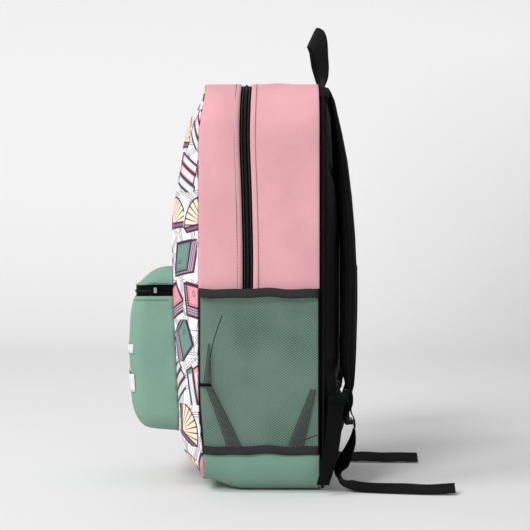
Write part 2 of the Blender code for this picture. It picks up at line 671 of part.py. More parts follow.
# Through the lock: behind it, over its middle bar and down past its lip.
LOCK_RUN = [
    (0.1000, 0.0940, 0.0780, 1, 0, 0), (0.1000, 0.0943, 0.0850, 1, 0, 0), (0.1000, 0.0947, 0.0900, 1, 0, 0),
    (0.1000, 0.0962, 0.0926, 1, 0, 0), (0.1000, 0.0990, 0.0934, 1, 0, 0), (0.1000, 0.1018, 0.0926, 1, 0, 0),
    (0.1000, 0.1033, 0.0902, 1, 0, 0), (0.1000, 0.1040, 0.0870, 1, 0, 0), (0.1000, 0.1050, 0.0830, 1, 0, 0),
    (0.1000, 0.1076, 0.0775, 1, 0, 0), (0.1000, 0.1082, 0.0720, 1, 0, 0), (0.1000, 0.1081, 0.0680, 1, 0, 0),
]
# The free end: from below the lock down to the floor and back along it.
TAIL_DROP = [
    (0.1002, 0.1079, 0.0665, 1, 0, 0), (0.1006, 0.1070, 0.0600, 1, 0.1, 0), (0.1030, 0.1040, 0.0490, 0.95, 0.3, 0),
    (0.1075, 0.0985, 0.0370, 0.88, 0.45, 0), (0.1130, 0.0930, 0.0260, 0.86, 0.45, -0.2),
    (0.1180, 0.0915, 0.0165, 0.9, 0.2, -0.3),
]
TAIL_ON_FLOOR = {
    1: [(0.1235, 0.0965, 0.0095, 0.95, 0, -0.3), (0.1285, 0.1080, 0.0060, 0.94, 0, -0.34),
        (0.1325, 0.1210, 0.0056, 0.94, 0, -0.34), (0.1370, 0.1370, 0.0056, 0.94, 0, -0.34),
        (0.1430, 0.1620, 0.0058, 0.94, 0, -0.34), (0.1470, 0.1880, 0.0056, 0.94, 0, -0.34),
        (0.1500, 0.2160, 0.0072, 0.94, 0, -0.34)],
    -1: [(0.1190, 0.0965, 0.0095, 0.95, 0, 0.3), (0.1190, 0.1070, 0.0060, 0.94, 0, 0.34),
         (0.1185, 0.1190, 0.0058, 0.94, 0, 0.34), (0.1170, 0.1340, 0.0064, 0.94, 0, 0.34),
         (0.1150, 0.1560, 0.0056, 0.94, 0, 0.34), (0.1130, 0.1790, 0.0060, 0.94, 0, 0.34),
         (0.1120, 0.2020, 0.0056, 0.94, 0, 0.34)],
}


def build_straps():
    for side, tag in ((1, "r"), (-1, "l")):
        swing = joint_empty(f"strap_axis_{tag}", (side * 0.056, 0.0845, 0.4425))
        attach(loft(f"strap_pad_{tag}", [pad_section(side, *s) for s in PAD_SECTIONS], "black_mesh"), swing)
        attach(ribbon(f"strap_webbing_{tag}", *webbing_route(side, SEWN_RUN), "black_webbing"), swing)
        tilt = joint_empty(f"lock_axis_{tag}", (side * STRAP_X, LOCK_Y, LOCK_Z + 0.0130))
        tilt.parent = swing
        tilt.matrix_parent_inverse = Matrix.Translation(swing.location).inverted()
        attach(ladder_lock(f"ladder_lock_{tag}", side), tilt)
        attach(ribbon(f"lock_webbing_{tag}", *webbing_route(side, LOCK_RUN), "black_webbing"), tilt)
        ribbon(f"adjuster_webbing_{tag}", *webbing_route(side, ADJUSTER_RUN), "black_webbing")
        stops = [*TAIL_DROP, *TAIL_ON_FLOOR[side]]
        ribbon(f"webbing_tail_{tag}", *webbing_route(side, stops), "black_webbing")
        low_x, high_x = sorted((side * 0.1528, side * 0.1538))
        block(f"anchor_tab_{tag}", (low_x, BACK_Y + 0.0005, 0.0225), (high_x, BACK_Y + 0.0120, 0.0390),
              "black_tape", 0.0003)


# ---------------------------------------------------------------- assembly
def build():
    flap_pieces = [*build_shell(), *build_main_zip()]
    flap = joint_empty("front_flap_axis", (0, PANEL_Y - PANEL_BULGE, FOLD_Z))
    for piece in flap_pieces:
        attach(piece, flap)
    build_main_sliders(flap)
    build_interior()
    build_pocket()
    build_side_pockets()
    build_handle()
    build_straps()


clear_scene()
PARTS = make_collection("School backpack")
CUTTERS = make_collection("Cutters")
build()
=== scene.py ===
"""School backpack: the looks. Fabric, netting, pads, webbing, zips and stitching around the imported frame.

Metres, +Z up. The front pocket faces -Y, the shoulder straps are on the +Y side,
and +X is the wearer's right.
"""

from math import cos, exp, pi, radians, sin, sqrt

import bmesh
import bpy
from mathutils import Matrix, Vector, noise


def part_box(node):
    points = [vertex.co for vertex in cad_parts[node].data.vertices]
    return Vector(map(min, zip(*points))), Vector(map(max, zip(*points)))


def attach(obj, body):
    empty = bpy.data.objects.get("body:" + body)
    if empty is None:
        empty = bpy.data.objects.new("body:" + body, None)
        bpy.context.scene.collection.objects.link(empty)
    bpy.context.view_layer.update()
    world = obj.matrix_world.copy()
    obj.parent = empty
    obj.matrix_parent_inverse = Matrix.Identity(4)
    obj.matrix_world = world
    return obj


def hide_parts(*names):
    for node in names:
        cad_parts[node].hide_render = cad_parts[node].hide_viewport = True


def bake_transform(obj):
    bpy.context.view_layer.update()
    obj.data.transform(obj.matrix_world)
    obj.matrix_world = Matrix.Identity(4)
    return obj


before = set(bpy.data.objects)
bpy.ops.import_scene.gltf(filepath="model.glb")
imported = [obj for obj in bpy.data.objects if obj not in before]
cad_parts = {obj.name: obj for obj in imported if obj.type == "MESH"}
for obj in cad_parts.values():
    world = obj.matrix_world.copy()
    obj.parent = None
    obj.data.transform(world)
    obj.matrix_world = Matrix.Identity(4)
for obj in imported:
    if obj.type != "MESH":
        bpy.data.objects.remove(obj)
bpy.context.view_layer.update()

# ---------------------------------------------------------------- driving dimensions, from the frame
BASE_LOW, BASE_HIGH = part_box("gusset_base")
WIDTH = BASE_HIGH[0] - BASE_LOW[0]
FRONT_Y, BACK_Y = BASE_LOW[1], BASE_HIGH[1]
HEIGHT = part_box("gusset_rear")[1][2]
SPLIT_Z = BASE_HIGH[2]
FOLD_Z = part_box("gusset_front")[0][2]
ZIP_Y = (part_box("zip_slider_r")[0][1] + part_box("zip_slider_r")[1][1]) / 2
PANEL_OVERLAP = 0.0018  # of the front panel's edge on the gusset
PANEL_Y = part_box("front_panel_upper")[1][1] - PANEL_OVERLAP
PANEL_BULGE = PANEL_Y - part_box("front_panel_lower")[0][1]
BACK_RIM = 0.0135  # thickness of the padded back at its edge
BACK_RIM_Y = BACK_Y + BACK_RIM
BACK_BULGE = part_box("back_panel")[1][1] - BACK_RIM_Y
BACK_LOW_Z, BACK_TOP_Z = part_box("back_panel")[0][2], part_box("back_panel")[1][2]

TOP_RADIUS, BOTTOM_RADIUS = 0.055, 0.045
FRONT_RISE = 0.011
ZIP_HALF = 0.0060
CANVAS = 0.0012
CELL = 0.004  # size of the quads that cloth is made of
SEAM_TURN, SEAM_INSET = 0.0016, 0.0009  # how far the front panel's edge turns back and in at a seam
TOPSTITCH = 0.0056  # from a zip's edge to its line of stitches

SIDES = ((1, "r", "right"), (-1, "l", "left"))


# ---------------------------------------------------------------- numbers
def smooth(t):
    t = min(max(t, 0.0), 1.0)
    return t * t * (3 - 2 * t)


def hump(x, centre, width):
    """1 at the centre, falling to 0 on both sides."""
    return exp(-(((x - centre) / width) ** 2))


def ripple(point, scale, seed=0.0):
    """Smooth noise from -1 to 1, scale metres across."""
    return noise.noise(Vector(point) / scale + Vector((seed, seed * 1.7, -seed)))


def steps(low, high, size):
    count = max(1, round(abs(high - low) / size))
    return [low + (high - low) * i / count for i in range(count + 1)]


def spline(points, size):
    """Points about size apart along a Catmull-Rom curve through the given ones."""
    points = [Vector(p) for p in points]
    ends = [2 * points[0] - points[1], *points, 2 * points[-1] - points[-2]]
    route = [points[0]]
    for before, start, end, after in zip(ends, ends[1:], ends[2:], ends[3:]):
        count = max(1, round((end - start).length / size))
        for i in range(1, count + 1):
            t = i / count
            square = 2 * before - 5 * start + 4 * end - after
            cube = 3 * start - before - 3 * end + after
            route.append(0.5 * (2 * start + (end - before) * t + square * t**2 + cube * t**3))
    return route


def lengths(points):
    """Distance along a line of points."""
    total, out = 0.0, [0.0]
    for a, b in zip(points, points[1:]):
        total += (b - a).length
        out.append(total)
    return out


# ---------------------------------------------------------------- the bag's outline, as in the frame
def half_width(z, inset=0.0):
    half, top = WIDTH / 2 - inset, HEIGHT - inset
    for radius, depth in ((BOTTOM_RADIUS - inset, z - inset), (TOP_RADIUS - inset, top - z)):
        if depth < radius:
            return half - radius + sqrt(max(radius**2 - (radius - max(depth, 0)) ** 2, 0))
    return half


def corner(radius, centre_x, centre_z, start, stop, size):
    """An arc from angle start to stop, in degrees from +X."""
    return [(centre_x + radius * cos(radians(a)), centre_z + radius * sin(radians(a)))
            for a in steps(start, stop, size)]


def both_halves(half):
    """A line of (x, other) that ends on the middle, carried on as its mirror image."""
    return [*half, *[(-x, other) for x, other in reversed(half[:-1])]]


def arch(start_z):
    """(x, z) from the +X side at start_z, over the top, down to the -X side."""
    half, centre_z = WIDTH / 2, HEIGHT - TOP_RADIUS
    side = [(half, z) for z in steps(start_z, centre_z, CELL)]
    bend = corner(TOP_RADIUS, half - TOP_RADIUS, centre_z, 0, 90, 5)
    flat = [(x, HEIGHT) for x in steps(half - TOP_RADIUS, 0, CELL)]
    return both_halves([*side, *bend[1:], *flat[1:]])


def trough(start_z):
    """(x, z) from the -X side at start_z, round the bottom, up to the +X side."""
    half = WIDTH / 2
    side = [(-half, z) for z in steps(start_z, BOTTOM_RADIUS, CELL)]
    bend = corner(BOTTOM_RADIUS, BOTTOM_RADIUS - half, BOTTOM_RADIUS, 180, 270, 6)
    flat = [(x, 0.0) for x in steps(BOTTOM_RADIUS - half, 0, CELL)]
    return both_halves([*side, *bend[1:], *flat[1:]])


def rise(y, z):
    """How far the bottom curves up towards the front seam."""
    return FRONT_RISE * smooth((-0.015 - y) / 0.052) * max(0.0, 1 - z / 0.09)


def panel_depth(x, z):
    """Y of the front panel's outer face."""
    across = 1 - (1 - max(min((half_width(z) - abs(x)) / 0.055, 1), 0)) ** 2.2
    below_top = max(min((HEIGHT - z) / 0.165, 1), 0)
    down = (1 - (1 - below_top) ** 1.55) * smooth(below_top / 0.27)
    up = 0.7 * (1 - (1 - min(max(z, 0) / 0.062, 1)) ** 1.6) + 0.3 * smooth(z / FOLD_Z)
    return PANEL_Y - PANEL_BULGE * across * min(down, up)


# ---------------------------------------------------------------- making pieces
def piece(name, bm, material, body, replaces=(), slot=None, thickness=0.0, soft=True):
    """A finished piece: its mesh, thickness, material and body."""
    mesh = bpy.data.meshes.new(name)
    bm.to_mesh(mesh)
    bm.free()
    made = bpy.data.objects.new(name, mesh)
    bpy.context.scene.collection.objects.link(made)
    mesh.materials.append(material)
    if soft:
        mesh.shade_smooth()
    if thickness:
        solidify = made.modifiers.new("Thickness", "SOLIDIFY")
        solidify.thickness = thickness
        solidify.offset = -1
    if body:
        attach(made, body)
    if replaces:
        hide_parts(*replaces)
    return made


def cloth_layer(bm):
    """The vertex attribute that holds where a point is on its flat cloth, in metres."""
    return bm.verts.layers.float_vector.get("cloth") or bm.verts.layers.float_vector.new("cloth")


def add_grid(bm, rows, outward):
    """Quads through rows of points, with their cloth coordinates, facing the way that outward points."""
    layer = cloth_layer(bm)
    across = lengths(rows[len(rows) // 2])
    along = lengths([row[len(row) // 2] for row in rows])
    half = across[-1] / 2
    grid = []
    for v, row in zip(along, rows):
        line = []
        for u, point in zip(across, row):
            vert = bm.verts.new(point)
            vert[layer] = (u - half, v, 0.0)
            line.append(vert)
        grid.append(line)
    faces = [bm.faces.new((a, b, c, d)) for near, far in zip(grid, grid[1:])
             for a, b, c, d in zip(near, near[1:], far[1:], far)]
    middle = faces[len(faces) // 2]
    middle.normal_update()
    if middle.normal.dot(outward(middle.calc_center_median())) < 0:
        for face in faces:
            face.normal_flip()
    return grid


def from_bag_centre(point):
    return Vector((point.x, point.y * 2, (point.z - HEIGHT / 2) * 0.7))


def sheet_piece(name, rows, material, body, outward=from_bag_centre, rests_on=(), **settings):
    """A sewn sheet of cloth; its area and the size of its rows and columns along the surface are measured
    but not used.
    """
    bm = bmesh.new()
    add_grid(bm, rows, outward)
    area = sum(face.calc_area() for face in bm.faces)
    made = piece(name, bm, material, body, **settings)
    across = max(lengths(row)[-1] for row in rows)
    along = lengths([row[len(row) // 2] for row in rows])[-1]
    return made


def add_tube(bm, route, radius, sides=6):
    """A round cord with closed ends."""
    rings = []
    for i, centre in enumerate(route):
        along = (route[min(i + 1, len(route) - 1)] - route[max(i - 1, 0)]).normalized()
        across = (last - along * last.dot(along)).normalized() if rings else along.orthogonal().normalized()
        last = across
        up = along.cross(across)
        turns = [2 * pi * k / sides for k in range(sides)]
        rings.append([bm.verts.new(centre + across * radius * cos(a) + up * radius * sin(a)) for a in turns])
    for near, far in zip(rings, rings[1:]):
        for k in range(sides):
            bm.faces.new((near[k], near[(k + 1) % sides], far[(k + 1) % sides], far[k]))
    bm.faces.new(list(reversed(rings[0])))
    bm.faces.new(rings[-1])


def add_stitches(bm, route, normals, length=0.0026, gap=0.0009, radius=0.00032, sink=0.0001):
    """Short round stitches along a route that lies on a surface."""
    along = lengths(route)
    total, pitch = along[-1], length + gap

    def at(distance):
        for i in range(len(route) - 1):
            if along[i + 1] >= distance:
                t = (distance - along[i]) / max(along[i + 1] - along[i], 1e-9)
                return route[i].lerp(route[i + 1], t), normals[i].lerp(normals[i + 1], t).normalized()
        return route[-1], normals[-1]

    for i in range(int(total / pitch)):
        start = i * pitch + gap / 2
        points = []
        for share, lift in ((0, -0.9), (0.12, 0.35), (0.5, 0.85), (0.88, 0.35), (1, -0.9)):
            point, normal = at(start + length * share)
            points.append(point + normal * (radius * lift - sink))
        add_tube(bm, points, radius, 5)


def stitch_piece(name, runs, material, body, **settings):
    """runs is a list of (route, normals)."""
    bm = bmesh.new()
    for route, normals in runs:
        add_stitches(bm, route, normals, **settings)
    return piece(name, bm, material, body)


# ---------------------------------------------------------------- material building
class Field:
    """A number in a material's node tree. Arithmetic on it adds Math nodes."""

    def __init__(self, tree, value):
        self.tree, self.value = tree, value

    def math(self, operation, *others):
        node = self.tree.nodes.new("ShaderNodeMath")
        node.operation = operation
        for socket, other in zip(node.inputs, (self, *others)):
            value = other.value if isinstance(other, Field) else other
            if isinstance(value, (int, float)):
                socket.default_value = value
            else:
                self.tree.links.new(value, socket)
        return Field(self.tree, node.outputs[0])

    def __add__(self, other):
        return self.math("ADD", other)

    def __sub__(self, other):
        return self.math("SUBTRACT", other)

    def __mul__(self, other):
        return self.math("MULTIPLY", other)

    def __truediv__(self, other):
        return self.math("DIVIDE", other)

    def __abs__(self):
        return self.math("ABSOLUTE")

    def sine(self):
        return self.math("SINE")

    def wave(self, pitch):
        """-1 to 1, repeating every pitch."""
        return (self * (2 * pi / pitch)).sine()

    def floor(self):
        return self.math("FLOOR")

    def wrap(self):
        return self.math("FRACT")

    def least(self, other):
        return self.math("MINIMUM", other)

    def most(self, other):
        return self.math("MAXIMUM", other)

    def clamp(self):
        return self.most(0.0).least(1.0)

    def ramp(self, low, high):
        """0 below low, 1 above high."""
        return ((self - low) / (high - low)).clamp()

    def inside(self, edge, blur):
        """1 where this is below edge, fading to 0 over blur."""
        return 1 - self.ramp(edge - blur / 2, edge + blur / 2)

    def __rsub__(self, other):
        node = self.tree.nodes.new("ShaderNodeMath")
        node.operation = "SUBTRACT"
        node.inputs[0].default_value = other
        self.tree.links.new(self.value, node.inputs[1])
        return Field(self.tree, node.outputs[0])

    __radd__ = __add__
    __rmul__ = __mul__


class Paint:
    """One material's node tree, with its shader and the inputs that a fabric needs."""

    def __init__(self, name, colour, roughness, metallic=0.0):
        self.material = bpy.data.materials.new(name)
        self.material.use_nodes = True
        self.tree = self.material.node_tree
        self.shader = self.tree.nodes["Principled BSDF"]
        self.base, self.colour = colour, None
        self.shader.inputs["Base Color"].default_value = (*colour, 1)
        self.shader.inputs["Roughness"].default_value = roughness
        self.shader.inputs["Metallic"].default_value = metallic

    def set(self, **values):
        for key, value in values.items():
            self.shader.inputs[key.replace("_", " ")].default_value = value

    def node(self, kind, **settings):
        node = self.tree.nodes.new(kind)
        for key, value in settings.items():
            setattr(node, key, value)
        return node

    def split(self, vector):
        node = self.node("ShaderNodeSeparateXYZ")
        self.tree.links.new(vector, node.inputs[0])
        return [Field(self.tree, socket) for socket in node.outputs]

    def cloth(self):
        """Across and along the flat cloth, in metres."""
        return self.split(self.node("ShaderNodeAttribute", attribute_name="cloth").outputs["Vector"])[:2]

    def place(self):
        """X, Y, Z in metres."""
        return self.split(self.node("ShaderNodeTexCoord").outputs["Object"])

    def noise(self, scale, detail=2.0):
        node = self.node("ShaderNodeTexNoise")
        node.inputs["Scale"].default_value = scale
        node.inputs["Detail"].default_value = detail
        self.tree.links.new(self.node("ShaderNodeTexCoord").outputs["Object"], node.inputs["Vector"])
        return Field(self.tree, node.outputs["Fac"])

    def combine(self, x, y, z=0.0):
        node = self.node("ShaderNodeCombineXYZ")
        for socket, value in zip(node.inputs, (x, y, z)):
            if isinstance(value, Field):
                self.tree.links.new(value.value, socket)
            else:
                socket.default_value = value
        return node.outputs[0]

    def random(self, x, y, seed):
        """A number from 0 to 1 for each whole x, y."""
        node = self.node("ShaderNodeTexWhiteNoise", noise_dimensions="3D")
        self.tree.links.new(self.combine(x, y, seed), node.inputs["Vector"])
        return Field(self.tree, node.outputs["Value"])

    def under(self, mix):
        """Connects what is painted so far as a mix's lower layer."""
        if self.colour:
            self.tree.links.new(self.colour, mix.inputs["A"])
        else:
            mix.inputs["A"].default_value = (*self.base, 1)

    def blend(self, share, top):
        """Lays the colour top over what is there, where share is 1."""
        mix = self.node("ShaderNodeMix", data_type="RGBA")
        self.tree.links.new(share.value, mix.inputs["Factor"])
        self.under(mix)
        mix.inputs["B"].default_value = (*top, 1)
        self.colour = mix.outputs["Result"]

    def shade(self, share, factor):
        """Multiplies the colour by factor where share is 1."""
        mix = self.node("ShaderNodeMix", data_type="RGBA", blend_type="MULTIPLY")
        self.tree.links.new(share.value, mix.inputs["Factor"])
        self.under(mix)
        mix.inputs["B"].default_value = (factor, factor, factor, 1)
        self.colour = mix.outputs["Result"]

    def bump(self, height, distance):
        node = self.node("ShaderNodeBump")
        node.inputs["Distance"].default_value = distance
        node.inputs["Strength"].default_value = 1.0
        self.tree.links.new(height.value, node.inputs["Height"])
        self.tree.links.new(node.outputs["Normal"], self.shader.inputs["Normal"])

    def roughness(self, field):
        self.tree.links.new(field.value, self.shader.inputs["Roughness"])

    def done(self):
        if self.colour:
            self.tree.links.new(self.colour, self.shader.inputs["Base Color"])
        return self.material


def linear(red, green, blue):
    """An sRGB colour of 0 to 255 as the renderer's linear one."""
    def channel(value):
        value /= 255
        return value / 12.92 if value <= 0.04045 else ((value + 0.055) / 1.055) ** 2.4
    return channel(red), channel(green), channel(blue)


WEAVE_PITCH = 0.0007


def weave_height(paint):
    """A plain weave: over and under threads."""
    u, v = paint.cloth()
    return (u.wave(WEAVE_PITCH) * v.wave(WEAVE_PITCH)) * 0.5 + 0.5


def canvas(name, colour, shade=0.93):
    paint = Paint(name, colour, 0.82)
    weave = weave_height(paint)
    paint.shade(weave.ramp(0.2, 0.8), 0.94)
    # Broad random mottle: partly the cloth's own tone, and where it is deepened, painted shade of soft
    # folds.
    paint.shade(paint.noise(14, 3).ramp(0.35, 0.75), shade)
    paint.shade(paint.noise(900, 2).ramp(0.4, 0.7), 0.965)
    paint.bump(weave + paint.noise(1500, 1) * 0.4, 0.00012)
    paint.set(Sheen_Weight=0.12, Sheen_Roughness=0.5, Specular_IOR_Level=0.3)
    return paint.done()


def webbing_material():
    """Ribbed webbing: rows across it, with a fine chevron in each."""
    paint = Paint("webbing", linear(9, 10, 11), 0.62)
    u, v = paint.cloth()
    rows = (v + abs((u / 0.0042).wrap() - 0.5) * 0.0022).wave(0.0017)
    columns = u.wave(0.0021)
    paint.shade(rows.ramp(-0.9, 0.2), 1.35)
    paint.shade(paint.noise(60, 2).ramp(0.3, 0.8), 0.8)
    paint.bump(rows * 0.6 + columns * 0.3 + paint.noise(1200, 1) * 0.3, 0.00025)
    paint.set(Specular_IOR_Level=0.06)
    return paint.done()


def tape_material(name, colour=linear(11, 12, 13), pitch=0.0011, gloss=0.06):
    """Woven tape with a herringbone."""
    paint = Paint(name, colour, 0.7)
    u, v = paint.cloth()
    bone = (v + abs((u / 0.003).wrap() - 0.5) * 0.003).wave(pitch)
    paint.shade(bone.ramp(-0.5, 0.5), 1.35)
    paint.bump(bone + paint.noise(1500, 1) * 0.3, 0.00015)
    paint.set(Specular_IOR_Level=gloss)
    return paint.done()


def air_mesh(pitch=0.0032):
    """Spacer mesh: a honeycomb of small holes, darkened inside as painted shade."""
    paint = Paint("air_mesh", linear(11, 12, 14), 0.8)
    x, _, z = paint.place()
    a = x.wave(pitch)
    b = (x * 0.5 + z * 0.866).wave(pitch)
    c = (z * 0.866 - x * 0.5).wave(pitch)
    holes = (a * b + b * c + c * a).ramp(0.15, 0.75)
    # Painted shade: each hole is darkened, for the shade down inside it.
    paint.shade(holes, 0.30)
    paint.shade(paint.noise(45, 2).ramp(0.3, 0.8), 0.85)
    paint.bump(1 - holes + paint.noise(1400, 1) * 0.2, 0.0005)
    paint.set(Specular_IOR_Level=0.12)
    return paint.done()


def plain_fabric(name, colour, roughness=0.75):
    """Fine fabric or foam, for pieces without cloth coordinates."""
    paint = Paint(name, colour, roughness)
    x, y, z = paint.place()
    weave = (x + y).wave(0.0008) * z.wave(0.0008)
    paint.shade(paint.noise(30, 3).ramp(0.3, 0.8), 0.85)
    paint.bump(weave + paint.noise(900, 2), 0.0001)
    paint.set(Specular_IOR_Level=0.15)
    return paint.done()


def net_material(name, colour, fold_shade):
    """Knitted strands, with painted shade in broad slanting bands, as where the net is slack and folds."""
    paint = Paint(name, colour, 0.5)
    # Painted shade: broad slanting bands are darkened, for the shade where the net hangs slack and folds.
    paint.shade(paint.noise(15, 2).ramp(0.44, 0.64), fold_shade)
    _, y, z = paint.place()
    paint.bump((y + z).wave(0.0006), 0.00006)
    paint.set(Specular_IOR_Level=0.35)
    return paint.done()


def metal():
    paint = Paint("zip_metal", linear(176, 176, 178), 0.34, 1.0)
    grain = paint.noise(260, 3)
    paint.shade(grain.ramp(0.4, 0.8), 0.85)
    paint.roughness(grain * 0.25 + 0.24)
    paint.bump(paint.noise(2200, 2), 0.00002)
    return paint.done()


def plastic(name, colour, roughness=0.42):
    paint = Paint(name, colour, roughness)
    grain = paint.noise(1600, 2)
    paint.shade(paint.noise(70, 2).ramp(0.4, 0.8), 0.85)
    paint.roughness(paint.noise(220, 2) * 0.2 + (roughness - 0.1))
    paint.bump(grain, 0.00003)
    paint.set(Specular_IOR_Level=0.22)
    return paint.done()


def thread(name, colour):
    paint = Paint(name, colour, 0.6)
    x, y, z = paint.place()
    paint.bump((x + y + z).wave(0.0005), 0.00006)
    return paint.done()


# ---------------------------------------------------------------- the book print
PAPER = linear(240, 238, 241)
PINK = linear(230, 150, 160)
PLUM = linear(66, 28, 58)
TEAL = linear(104, 142, 132)
CREAM = linear(244, 222, 196)
MAUVE = linear(134, 92, 122)
SKETCH = linear(134, 130, 138)
TILE = 0.047  # one motif's share of the cloth


def rotated(p, q, angle):
    """p, q turned by an angle that is itself a field."""
    c, s = angle.math("COSINE"), angle.sine()
    return p * c + q * s, q * c - p * s


def box_distance(p, q, half_p, half_q):
    """How far outside a box, below 0 inside."""
    return (abs(p) - half_p).most(abs(q) - half_q)


EDGE_BLUR = 0.03


def outline(distance, width):
    return (abs(distance) - width).inside(0.0, EDGE_BLUR)


def closed_book(paint, p, q, here, cover):
    """A closed book lying at a slant: a cover with stitches, and page edges along two sides."""
    slant = p + q * 0.35
    edge = box_distance(slant + 0.07, q + 0.13, 0.50, 0.46)
    face = box_distance(slant, q - 0.04, 0.46, 0.34)
    paint.blend(edge.inside(0, EDGE_BLUR) * here, MAUVE)
    pages = (q + slant * 0.02).wave(0.075).ramp(0.2, 0.8)
    paint.blend(edge.inside(0, EDGE_BLUR) * pages * here * 0.5, PAPER)
    paint.blend(face.inside(0, EDGE_BLUR) * here, cover)
    stitches = outline(face + 0.075, 0.012) * (slant + q).wave(0.09).ramp(-0.2, 0.2)
    paint.blend(stitches * here, PLUM)
    paint.blend(outline(face, 0.030) * here, PLUM)
    paint.blend(outline(edge, 0.034) * here, PLUM)
    badge_p, badge_q = slant + 0.16, q - 0.1
    badge = (badge_p * badge_p * 2.2 + badge_q * badge_q).math("SQRT") - 0.075
    paint.blend(outline(badge, 0.014) * here, PLUM)


def open_book(paint, p, q, here):
    """An open book standing up, its pages fanned."""
    up = q + 0.42
    radius = (p * p + up * up).math("SQRT")
    angle = p.math("ARCTAN2", up)
    fan = (radius - 0.88).most(abs(angle) - 1.02)
    paint.blend(fan.inside(0, EDGE_BLUR) * here, CREAM)
    leaves = angle.wave(0.24).ramp(0.62, 0.9) * (radius - 0.2).ramp(0, 0.05)
    paint.blend(fan.inside(0, EDGE_BLUR) * leaves * here, PLUM)
    paint.blend(outline(fan, 0.030) * here, PLUM)
    cover = box_distance(p, up + 0.02 - abs(p) * 0.55, 0.74, 0.085)
    paint.blend(cover.inside(0, EDGE_BLUR) * here, MAUVE)
    paint.blend(outline(cover, 0.034) * here, PLUM)


def book_stack(paint, p, q, here):
    """Three books on each other."""
    for centre, half, colour in ((-0.34, 0.62, TEAL), (-0.02, 0.54, PINK), (0.30, 0.60, MAUVE)):
        book = box_distance(p + q * 0.2, q - centre, half, 0.15)
        paint.blend(book.inside(0, EDGE_BLUR) * here, colour)
        inner = box_distance(p + q * 0.2 - 0.1, q - centre, half - 0.06, 0.085)
        lines = q.wave(0.055).ramp(0.3, 0.8)
        paint.blend(inner.inside(0, EDGE_BLUR) * here, PAPER)
        paint.blend(inner.inside(0, EDGE_BLUR) * lines * here * 0.7, PLUM)
        paint.blend(outline(book, 0.032) * here, PLUM)


def sketch(paint, p, q, here):
    """A pale line drawing of a sheaf of pages."""
    half_p, half_q = 0.62, 0.44
    for shift in (0.0, 0.10, 0.22):
        page = box_distance(p + shift + q * 0.2, q - shift, half_p, half_q)
        paint.blend(outline(page, 0.024) * here, SKETCH)
    line = box_distance(p + q * 0.2, q, half_p * 0.7, half_q * 0.7).inside(0, 0.02)
    paint.blend(line * q.wave(0.16).ramp(0.88, 0.98) * here, SKETCH)


def book_print():
    """Small drawn books on paper-white cloth. Each tile holds one motif at its own angle, and pale sketches
    fill the ground."""
    paint = Paint("printed_canvas", PAPER, 0.8)
    u, v = paint.cloth()
    wobble = paint.noise(900, 1) * 0.0006
    u, v = u + wobble, v + wobble
    for size, seed, layer in ((TILE * 0.62, 7.0, "sketch"), (TILE, 3.0, "books")):
        row = (v / size).floor()
        across = u / size + (row * 0.5).wrap() * 1.06 + seed
        column = across.floor()
        kind = paint.random(column, row, seed)
        turn = (paint.random(column, row, seed + 1.5) - 0.5) * 3.4
        shift_p = (paint.random(column, row, seed + 2.5) - 0.5) * 0.12
        shift_q = (paint.random(column, row, seed + 4.5) - 0.5) * 0.12
        p = (across.wrap() - 0.5) * 2 + shift_p
        q = ((v / size).wrap() - 0.5) * 2 + shift_q
        p, q = rotated(p * 0.64, q * 0.64, turn)
        if layer == "sketch":
            sketch(paint, p, q, kind.ramp(0.10, 0.11))
            continue
        first = kind.inside(0.30, 0.001)
        second = kind.inside(0.56, 0.001) * kind.ramp(0.30, 0.301)
        third = kind.inside(0.80, 0.001) * kind.ramp(0.56, 0.561)
        closed_book(paint, p, q, first, PINK)
        open_book(paint, p, q, second)
        book_stack(paint, p, q, third)
        closed_book(paint, p, q, kind.ramp(0.80, 0.801), TEAL)
    weave = weave_height(paint)
    paint.shade(weave.ramp(0.2, 0.8), 0.96)
    paint.bump(weave + paint.noise(1500, 1) * 0.4, 0.0001)
    paint.set(Sheen_Weight=0.05, Specular_IOR_Level=0.3)
    return paint.done()


# The pink's broad mottle goes down to 0.88: partly the cloth's own tone, partly painted shade of its soft
# folds.
PINK_CANVAS = canvas("pink_canvas", linear(222, 164, 170), 0.88)
GREEN_CANVAS = canvas("green_canvas", linear(121, 158, 141))
PRINT = book_print()
WEBBING = webbing_material()
TAPE = tape_material("zip_tape")
BINDING = tape_material("binding", linear(37, 37, 38), 0.0016, 0.25)
AIR_MESH = air_mesh()
# The last number is how far the painted fold shade darkens each netting.
NETTING = net_material("netting", linear(98, 104, 104), 0.22)
TUCK_NETTING = net_material("tuck_netting", linear(20, 22, 24), 0.8)
TUCK_FACE = net_material("tuck_face_netting", linear(92, 97, 96), 0.8)
YOKE = plain_fabric("black_canvas", linear(11, 12, 13), 0.8)
WHITE_INK = plain_fabric("white_ink", linear(232, 232, 230), 0.7)
LINING = plain_fabric("lining", linear(96, 98, 102))
FOAM = plain_fabric("foam", linear(140, 140, 142), 0.95)
METAL = metal()
TEETH = plastic("zip_teeth", linear(22, 23, 24), 0.38)
COIL_THREAD = thread("coil_thread", linear(88, 90, 90))
PLASTIC = plastic("black_plastic", linear(12, 12, 13))
PINK_THREAD = thread("pink_thread", linear(122, 66, 74))
GREEN_THREAD = thread("green_thread", linear(72, 104, 90))
BLACK_THREAD = thread("black_thread", linear(44, 46, 50))


# ---------------------------------------------------------------- camera, floor and light
def look_at(obj, target):
    obj.rotation_euler = (Vector(target) - obj.location).to_track_quat("-Z", "Y").to_euler()


FLOOR_DROP = 0.0004  # below the bag, so that the two don't share a plane
CAMERA_AT = (1.75, 0.0066, 0.252)
LENS, SENSOR = 98.7, 36


